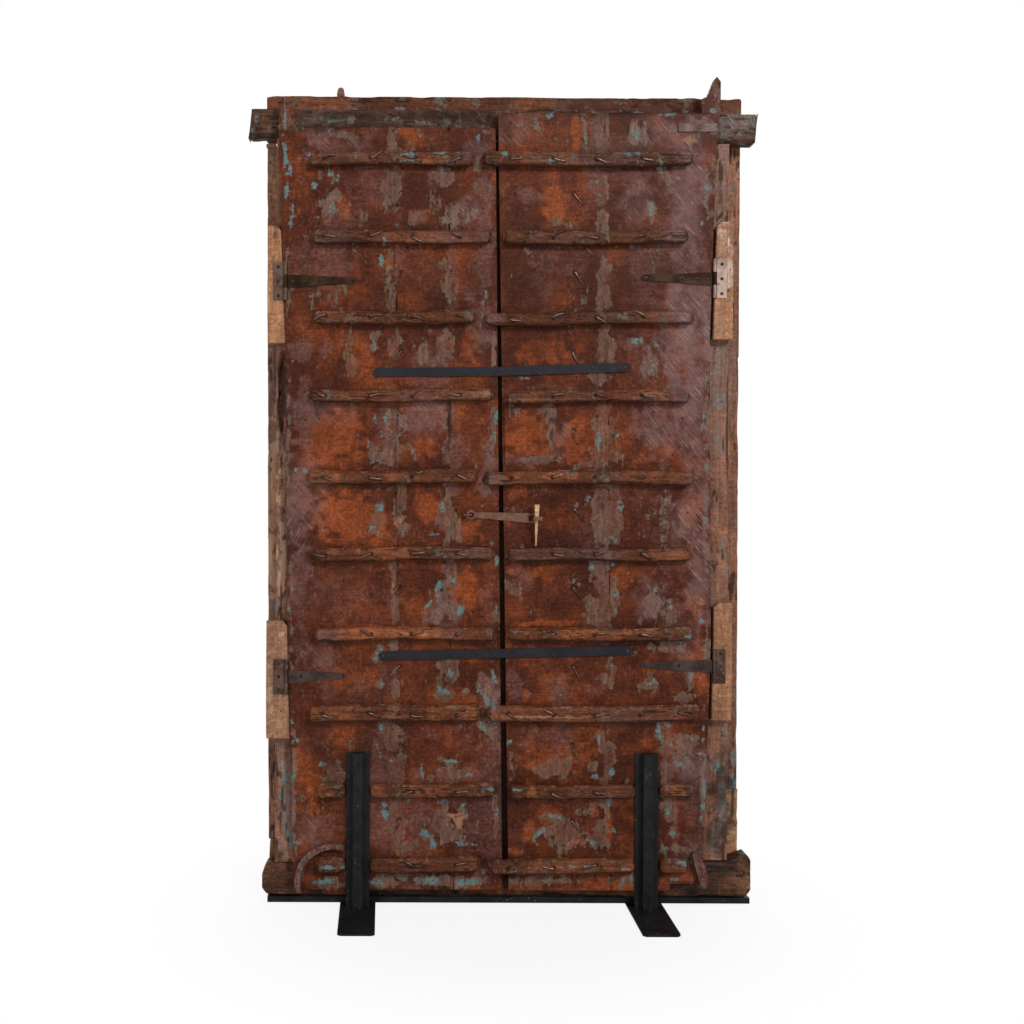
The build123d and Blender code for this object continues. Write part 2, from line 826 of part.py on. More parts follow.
left_corner = left_edge(left_leaf_bottom)
write_piece(knee(left_corner, -1, knee_pivot, knee_outer, knee_inner), "pivot_knee_left")
right_corner = right_edge(broken_corner_bottom)
write_piece(knee(right_corner, 1, finger_pivot, finger_outer, finger_inner), "pivot_knee_right")

# Iron band with one rivet across the top corner of the right leaf
band_right = right_edge(band_height)
with BuildPart() as iron_band:
    with BuildSketch(Plane.XZ.offset(-inner_face)):
        with Locations((band_right - band_length / 2, band_height)):
            Rectangle(band_length, band_width)
    extrude(amount=band_thickness)
    with BuildSketch(Plane.XZ.offset(-inner_face + band_thickness)):
        with Locations((band_right - band_length * 0.45, band_height)):
            RegularPolygon(screw_radius, screw_facets)
    extrude(amount=screw_rise)
write_piece(iron_band.part, "iron_band")

# Rounded lug standing on the head casing
casing_length = 2 * casing_reach + casing_overrun
lug_base = casing_top - casing_drop * (lug_x + casing_reach) / casing_length
lug_neck = lug_radius * lug_neck_share
with BuildPart() as top_lug:
    with BuildSketch(Plane.XZ.offset(-beam_front - (casing_thickness - lug_thickness) / 2)):
        with BuildLine():
            Line((lug_x - lug_radius, lug_base), (lug_x + lug_radius, lug_base))
            Line((lug_x + lug_radius, lug_base), (lug_x + lug_neck, lug_base + lug_shoulder))
            ThreePointArc(
                (lug_x + lug_neck, lug_base + lug_shoulder),
                (lug_x, lug_base + lug_height),
                (lug_x - lug_neck, lug_base + lug_shoulder),
            )
            Line((lug_x - lug_neck, lug_base + lug_shoulder), (lug_x - lug_radius, lug_base))
        make_face()
    extrude(amount=-lug_thickness)
write_piece(top_lug.part, "top_lug")

# Steel stand: two flat feet, a rail under the sill and two uprights against the leaves
for side, place in ((-1, "left"), (1, "right")):
    with BuildPart() as foot:
        with BuildSketch():
            with Locations((side * foot_x, 0)):
                Rectangle(foot_width, foot_length)
        extrude(amount=foot_thickness)
        chamfer(foot.edges().filter_by(Axis.Z), foot_corner)
    write_piece(foot.part, f"foot_{place}")

    flange_y = inner_face - flange_thickness / 2
    tube_y = inner_face - flange_thickness - tube_depth / 2
    with BuildPart() as upright:
        with BuildSketch(Plane.XY.offset(foot_thickness)):
            with Locations((side * foot_x, flange_y)):
                Rectangle(flange_width, flange_thickness)
            with Locations((side * foot_x, tube_y)):
                RectangleRounded(tube_width, tube_depth, tube_wall)
            with Locations((side * foot_x, inner_face - flange_thickness - tube_wall)):
                Rectangle(tube_width, 2 * tube_wall)
        extrude(amount=upright_top - foot_thickness)
        with BuildSketch(Plane.XY.offset(foot_thickness)):
            with Locations((side * foot_x, tube_y)):
                Rectangle(tube_width - 2 * tube_wall, tube_depth - 2 * tube_wall)
        extrude(amount=upright_top - foot_thickness - tube_wall, mode=Mode.SUBTRACT)
    write_piece(upright.part, f"upright_{place}")

rail_height = sill_bottom - foot_thickness
with BuildPart() as stand_rail:
    with BuildSketch(Plane.YZ.offset(-rail_reach_left)):
        with Locations(((outer_face + beam_front) / 2, foot_thickness + rail_height / 2)):
            Rectangle(beam_thickness, rail_height)
        with Locations(((outer_face + beam_front) / 2, foot_thickness + (rail_height - rail_wall) / 2)):
            Rectangle(beam_thickness - 2 * rail_wall, rail_height - rail_wall, mode=Mode.SUBTRACT)
    extrude(amount=rail_reach_left + rail_reach_right)
write_piece(stand_rail.part, "stand_rail")


def cross_strap(points):
    """Flat steel strap screwed to both leaves, with round ends and a slight bend."""
    upper = [(x, height + strap_width / 2) for x, height in points]
    lower = [(x, height - strap_width / 2) for x, height in points]
    with BuildPart() as piece:
        with BuildSketch(Plane.XZ.offset(-inner_face)):
            with BuildLine():
                Polyline(*upper, *lower[::-1], close=True)
            make_face()
            with Locations(points[0], points[-1]):
                Circle(strap_width / 2)
        extrude(amount=strap_thickness)
    return piece.part


for points, place in ((upper_strap, "upper"), (lower_strap, "lower")):
    write_piece(cross_strap(points), f"cross_strap_{place}")
    for x, height in (points[0], points[-1]):
        screws.append(pan_screw(x, height, inner_face - strap_thickness))
write_piece(Compound(children=screws), "screws")
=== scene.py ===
import math
import bmesh
import bpy
import numpy as np
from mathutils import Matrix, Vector


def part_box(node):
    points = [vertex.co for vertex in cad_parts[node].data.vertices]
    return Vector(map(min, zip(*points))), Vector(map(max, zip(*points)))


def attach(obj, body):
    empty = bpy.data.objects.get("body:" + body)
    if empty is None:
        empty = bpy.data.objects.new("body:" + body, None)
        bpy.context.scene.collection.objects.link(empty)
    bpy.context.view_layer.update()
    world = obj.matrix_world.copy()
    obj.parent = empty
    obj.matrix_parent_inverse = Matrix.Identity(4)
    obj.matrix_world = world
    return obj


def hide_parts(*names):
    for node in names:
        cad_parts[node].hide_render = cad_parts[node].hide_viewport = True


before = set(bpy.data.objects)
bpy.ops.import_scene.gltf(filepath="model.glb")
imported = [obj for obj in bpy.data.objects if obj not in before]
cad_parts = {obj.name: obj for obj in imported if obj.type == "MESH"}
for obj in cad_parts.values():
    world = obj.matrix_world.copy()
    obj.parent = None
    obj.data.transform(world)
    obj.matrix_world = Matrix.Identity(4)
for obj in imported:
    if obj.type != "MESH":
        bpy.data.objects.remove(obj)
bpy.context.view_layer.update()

# Old hewn double door in its frame on a steel stand. X runs to the right of the battened face,
# Y into the door, Z up; every size is in metres. Axes are numbered 0, 1, 2 for X, Y, Z.
tiny = 1e-5


def report(stage):
    print("stage:", stage)


# Random numbers and noise, the same on every run
def latticeValue(cell, seed):
    # one number from 0 to 1 for each whole-number cell: the three indices are mixed by large odd factors
    mixed = cell[..., 0] * 374761393 + cell[..., 1] * 668265263 + cell[..., 2] * 2147483647 + seed * 144665
    mixed = (mixed ^ (mixed >> 13)) * 1274126177
    mixed = mixed ^ (mixed >> 16)
    return (mixed & 0xFFFFFF) / float(0xFFFFFF)


def smoothNoise(points, size, seed=0):
    # value noise: lattice numbers at the eight corners of a cell, blended by a smooth step on each axis
    scaled = points / np.asarray(size, dtype=float)
    cell = np.floor(scaled).astype(np.int64)
    part = scaled - cell
    part = part * part * (3 - 2 * part)
    blended = np.zeros(points.shape[:-1])
    for corner in range(8):
        step = np.array([corner & 1, (corner >> 1) & 1, (corner >> 2) & 1])
        weight = np.prod(np.where(step == 1, part, 1 - part), axis=-1)
        blended += weight * latticeValue(cell + step, seed)
    return blended


def layeredNoise(points, size, layers=3, seed=0):
    # noise added to itself at half the size and half the strength, brought back to 0 to 1
    size = np.asarray(size, dtype=float)
    layered = 0
    weights = 0
    for layer in range(layers):
        weight = 0.5 ** layer
        layered = layered + weight * smoothNoise(points, size / 2 ** layer, seed + 17 * layer)
        weights += weight
    return layered / weights


def rampUp(values, start, end):
    # 0 below start, 1 above end, a smooth step between
    share = np.clip((values - start) / (end - start), 0, 1)
    return share * share * (3 - 2 * share)


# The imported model's meshes, read as arrays
def nodeArrays(node):
    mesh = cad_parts[node].data
    mesh.calc_loop_triangles()
    points = np.empty(len(mesh.vertices) * 3)
    mesh.vertices.foreach_get("co", points)
    corners = np.empty(len(mesh.loop_triangles) * 3, dtype=np.int32)
    mesh.loop_triangles.foreach_get("vertices", corners)
    return points.reshape(-1, 3), corners.reshape(-1, 3)


def nodeSpans(node, along):
    # the stretches of one axis that the node's solids fill, with the empty gaps between them left out
    points, triangles = nodeArrays(node)
    places = points[triangles][:, :, along]
    order = np.argsort(places.min(axis=1))
    starts = places.min(axis=1)[order]
    ends = np.maximum.accumulate(places.max(axis=1)[order])
    breaks = np.where(starts[1:] > ends[:-1] + 0.0005)[0]
    firsts = np.concatenate([[0], breaks + 1])
    lasts = np.concatenate([breaks, [len(starts) - 1]])
    return list(zip(starts[firsts], ends[lasts]))


def silhouette(node, along, across, stations):
    # lowest and highest place of the node on one axis, at each station along another:
    # every triangle edge that passes the station is cut there
    points, triangles = nodeArrays(node)
    edges = points[triangles[:, [0, 1, 1, 2, 2, 0]]].reshape(-1, 2, 3)
    start, end = edges[:, 0, along], edges[:, 1, along]
    slant = np.abs(end - start) > 1e-7
    edges, start, end = edges[slant], start[slant], end[slant]
    share = (stations[:, None] - start) / (end - start)
    place = edges[:, 0, across] + (edges[:, 1, across] - edges[:, 0, across]) * share
    passed = (share >= 0) & (share <= 1)
    low = np.where(passed, place, np.inf).min(axis=1)
    high = np.where(passed, place, -np.inf).max(axis=1)
    return low, high


def nodeIslands(node, count):
    # a node of many like solids, as one row of points for each of them
    points, triangles = nodeArrays(node)
    return points[triangles.reshape(-1)].reshape(count, -1, 3)


# Meshes
def addPiece(name, points, faces, material, body="door", replaced=(), values=None):
    # a smooth-shaded mesh on one of the bodies, with a number at each point for every layer in values
    mesh = bpy.data.meshes.new(name)
    mesh.from_pydata(points.tolist(), [], faces)
    for label, numbers in (values or {}).items():
        layer = mesh.attributes.new(label, "FLOAT", "POINT")
        layer.data.foreach_set("value", np.ascontiguousarray(numbers, dtype=np.float32))
    mesh.shade_smooth()
    mesh.materials.append(material)
    piece = bpy.data.objects.new(name, mesh)
    bpy.context.scene.collection.objects.link(piece)
    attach(piece, body)
    if replaced:
        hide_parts(*replaced)
    return piece


def enclosedVolume(points, triangles):
    # a sixth of the sum of the triple products of the triangles' corners; negative if inside out
    a, b, c = points[triangles[:, 0]], points[triangles[:, 1]], points[triangles[:, 2]]
    return np.einsum("ij,ij->i", a, np.cross(b, c)).sum() / 6


def closedGrid(rings):
    # faces of a tube of rings, shaped stations x points x 3, with a fan at each end, facing outwards
    stationCount, ringCount = rings.shape[:2]
    station = np.arange(stationCount - 1)[:, None]
    place = np.arange(ringCount)[None, :]
    following = (place + 1) % ringCount
    first = station * ringCount + place
    second = station * ringCount + following
    quads = np.stack([first, second, second + ringCount, first + ringCount], axis=-1).reshape(-1, 4)
    ends = np.array([rings[0].mean(axis=0), rings[-1].mean(axis=0)])
    points = np.concatenate([rings.reshape(-1, 3), ends])
    startCentre = stationCount * ringCount
    row = np.arange(ringCount)
    after = (row + 1) % ringCount
    lastRow = (stationCount - 1) * ringCount
    startFan = np.stack([np.full(ringCount, startCentre), after, row], axis=-1)
    endFan = np.stack([np.full(ringCount, startCentre + 1), lastRow + row, lastRow + after], axis=-1)
    fans = np.concatenate([startFan, endFan])
    flat = np.concatenate([quads[:, [0, 1, 2]], quads[:, [0, 2, 3]], fans])
    if enclosedVolume(points, flat) < 0:
        quads = quads[:, ::-1]
        fans = fans[:, ::-1]
    return points, quads, fans


def ringTemplate(faceCount, backCount, sideCount, cornerCount):
    # a rounded rectangle in shares: each point is (corner radii, free width, corner radii, free depth),
    # followed by its outward direction; it runs along the front, up one side, back, and down the other
    rows = []
    turn = np.linspace(0, math.pi / 2, cornerCount + 2)[1:-1]
    front = np.linspace(0, 1, faceCount)
    side = np.linspace(0, 1, sideCount)
    back = np.linspace(0, 1, backCount)
    for share in front:
        rows.append((1, share, 0, 0, 0, -1))
    for angle in turn:
        rows.append((1 + math.sin(angle), 1, 1 - math.cos(angle), 0, math.sin(angle), -math.cos(angle)))
    for share in side:
        rows.append((2, 1, 1, share, 1, 0))
    for angle in turn:
        rows.append((1 + math.cos(angle), 1, 1 + math.sin(angle), 1, math.cos(angle), math.sin(angle)))
    for share in back:
        rows.append((1, 1 - share, 2, 1, 0, 1))
    for angle in turn:
        rows.append((1 - math.sin(angle), 0, 1 + math.cos(angle), 1, -math.sin(angle), math.cos(angle)))
    for share in side:
        rows.append((0, 0, 1, 1 - share, -1, 0))
    for angle in turn:
        rows.append((1 - math.cos(angle), 0, 1 - math.sin(angle), 0, -math.cos(angle), -math.sin(angle)))
    return np.array(rows)


def stationPlaces(node, along, start, end, step, endRound):
    # even steps, finer towards rounded ends, and two stations at each level where the outline jumps
    points = nodeArrays(node)[0]
    levels = np.unique(np.round(points[:, along], 5))
    inside = levels[(levels > start + 0.002) & (levels < end - 0.002)]
    near = endRound * (1 - np.cos(np.linspace(0, math.pi / 2, 5)))
    even = np.arange(start + endRound, end - endRound, step)
    places = np.concatenate([even, inside - tiny, inside + tiny, start + near, end - near])
    places = np.clip(places, start, end)
    places = np.sort(places)
    keep = np.concatenate([[True], np.diff(places) > tiny / 2])
    return places[keep]


def hewnRings(node, along, span, look, seed):
    # rings of a hewn piece: the node's own outline, with rounded edges, and its skin pressed inwards
    # by a slow wave, a finer roughness and chips near its edges
    across = 2 if along == 0 else 0
    start, end = span
    endRound = look.get("endRound", 0.003)
    stations = stationPlaces(node, along, start, end, look["step"], endRound)
    cut = np.clip(stations, start + tiny, end - tiny)
    low, high = silhouette(node, along, across, cut)
    near, far = silhouette(node, along, 1, cut)
    width = high - low
    depth = far - near
    toEnd = np.minimum(stations - start, end - stations)
    endInset = endRound - np.sqrt(np.maximum(endRound ** 2 - np.maximum(endRound - toEnd, 0) ** 2, 0))
    faceCount = max(4, int(np.median(width) / look["step"]) + 1)
    sideCount = max(3, int(np.median(depth) / look["step"] / 1.5) + 1)
    template = ringTemplate(faceCount, max(4, faceCount // look.get("backShare", 3)), sideCount, 4)
    corner = np.minimum(look["radius"], np.minimum(0.42 * width, 0.42 * depth))[:, None]
    freeWidth = width[:, None] - 2 * corner
    freeDepth = depth[:, None] - 2 * corner
    u = corner * template[:, 0] + freeWidth * template[:, 1]
    v = corner * template[:, 2] + freeDepth * template[:, 3]
    base = np.empty(u.shape + (3,))
    base[..., along] = stations[:, None]
    base[..., across] = low[:, None] + u
    base[..., 1] = near[:, None] + v
    toEdge = np.maximum(np.minimum(u, width[:, None] - u), np.minimum(v, depth[:, None] - v))
    grain = np.ones(3)
    grain[along] = 4.0
    waveSize = look.get("waveSize", 0.07)
    inset = look.get("wave", 0.002) * layeredNoise(base, waveSize * grain, 2, seed)
    inset = inset + look.get("rough", 0.0006) * layeredNoise(base, 0.009 * grain, 2, seed + 5)
    chips = rampUp(layeredNoise(base, 0.03 * (0.5 + grain / 2), 3, seed + 9), 0.52, 0.75)
    inset = inset + look.get("chip", 0.004) * chips * np.exp(-toEdge / 0.006)
    for place in look.get("dents", ()):
        # a dent is an ellipse on the front face: (along, across, half length, half width, depth)
        reach = ((base[..., along] - place[0]) / place[2]) ** 2
        reach = reach + ((base[..., across] - place[1]) / place[3]) ** 2
        onFront = np.clip((far[:, None] - base[..., 1]) / depth[:, None], 0, 1)
        inset = inset + place[4] * rampUp(-reach, -1.0, -0.35) * (template[:, 5] < -0.5) * onFront
    inset = inset + endInset[:, None]
    # long splits follow the grain where a stretched noise passes through its middle value
    vein = layeredNoise(base, look.get("splitSize", 0.03) * (0.55 * grain ** 1.6), 2, seed + 13)
    splits = rampUp(-np.abs(vein - 0.5), -0.045, -0.01)
    splits = splits * rampUp(layeredNoise(base, 0.09, 2, seed + 15), 0.38, 0.5)
    splits = splits * (template[:, 5] < 0.2)
    inset = inset + look.get("split", 0.0) * splits
    limit = 0.45 * np.minimum(width, depth)[:, None]
    inset = np.minimum(inset, limit)
    # planks stand close together, so their side faces are pressed in less than their fronts
    sideways = np.where(np.abs(template[:, 4]) > 0.5, look.get("sideShare", 1.0), 1.0)
    base[..., across] += template[:, 4] * (look.get("sideGrow", 0.0) - sideways * inset)
    base[..., 1] -= template[:, 5] * inset
    # the ends keep to the span even where the outline is slanted
    base[..., along] = np.clip(base[..., along], start, end)
    skin = {"toEdge": toEdge, "chips": chips, "splits": splits}
    skin["lower"] = rampUp(-u / width[:, None], -0.34, -0.05)
    skin["upper"] = rampUp(u / width[:, None], 0.66, 0.92)
    return base, skin


# Clenched nails: each comes out of the wood, bends over and lies along it to its point
nailLook = {
    "count": 87, "longer": 1.25, "wiggle": 0.012, "sides": 8, "wide": 1.1, "flat": 0.8,
    "distance": [0, 0, 0.04, 0.12, 0.3, 0.55, 0.8, 0.93, 1.0],
    "liftMillimetres": [-6, 0.5, 1.6, 2.0, 1.9, 1.5, 0.9, 0.2, -0.8],
    "thickMillimetres": [2.2, 2.3, 2.4, 2.4, 2.3, 2.0, 1.7, 1.4, 0.8],
}


def nailField(islands):
    # the lie of each nail is the long axis of its solid; its wide end is the root
    middle = islands.mean(axis=1)
    flat = islands[:, :, [0, 2]] - middle[:, None, [0, 2]]
    xx = (flat[..., 0] ** 2).sum(axis=1)
    zz = (flat[..., 1] ** 2).sum(axis=1)
    xz = (flat[..., 0] * flat[..., 1]).sum(axis=1)
    angle = 0.5 * np.arctan2(2 * xz, xx - zz)
    lie = np.stack([np.cos(angle), np.sin(angle)], axis=-1)
    side = np.stack([-lie[:, 1], lie[:, 0]], axis=-1)
    along = np.einsum("nij,nj->ni", flat, lie)
    spread = np.abs(np.einsum("nij,nj->ni", flat, side))
    widePlus = np.where(along > 0, spread, 0).max(axis=1)
    wideMinus = np.where(along < 0, spread, 0).max(axis=1)
    flip = np.where(widePlus > wideMinus, -1.0, 1.0)
    lie = lie * flip[:, None]
    side = side * flip[:, None]
    half = np.abs(along).max(axis=1) * nailLook["longer"]
    face = islands[:, :, 1].max(axis=1)
    distance = np.array(nailLook["distance"])
    lift = np.array(nailLook["liftMillimetres"]) / 1000
    thick = np.array(nailLook["thickMillimetres"]) / 1000
    bend = np.sin(np.linspace(0, 3, len(distance)))
    cell = np.stack([np.arange(len(islands))] * 3, axis=-1)
    wiggle = (latticeValue(cell, 8) - 0.5) * nailLook["wiggle"]
    place = -half[:, None] + 2 * half[:, None] * distance
    offset = wiggle[:, None] * bend
    centre = middle[:, None, :] + np.zeros((1, len(distance), 1))
    centre[..., 0] += lie[:, None, 0] * place + side[:, None, 0] * offset
    centre[..., 2] += lie[:, None, 1] * place + side[:, None, 1] * offset
    centre[..., 1] = face[:, None] - lift
    turn = np.linspace(0, 2 * math.pi, nailLook["sides"], endpoint=False)
    across = np.cos(turn) * nailLook["wide"]
    outward = np.sin(turn) * nailLook["flat"]
    rings = centre[:, :, None, :] + np.zeros((1, 1, nailLook["sides"], 1))
    rings[..., 0] += side[:, None, None, 0] * across * thick[None, :, None]
    rings[..., 2] += side[:, None, None, 1] * across * thick[None, :, None]
    rings[..., 1] -= outward * thick[None, :, None]
    return rings


def manyTubes(rings):
    # the same tube faces for every nail, turned the right way by the first one
    quads, fans = closedGrid(rings[0])[1:]
    count, stations, sides = rings.shape[:3]
    ends = np.stack([rings[:, 0].mean(axis=1), rings[:, -1].mean(axis=1)], axis=1)
    points = np.concatenate([rings.reshape(count, stations * sides, 3), ends], axis=1)
    step = (np.arange(count) * (stations * sides + 2))[:, None, None]
    faces = (quads[None] + step).reshape(-1, 4).tolist() + (fans[None] + step).reshape(-1, 3).tolist()
    return points.reshape(-1, 3), faces


nailRings = nailField(nodeIslands("clenched_nails", nailLook["count"]))
nailRoots = nailRings[:, 0].mean(axis=1)[:, [0, 2]]


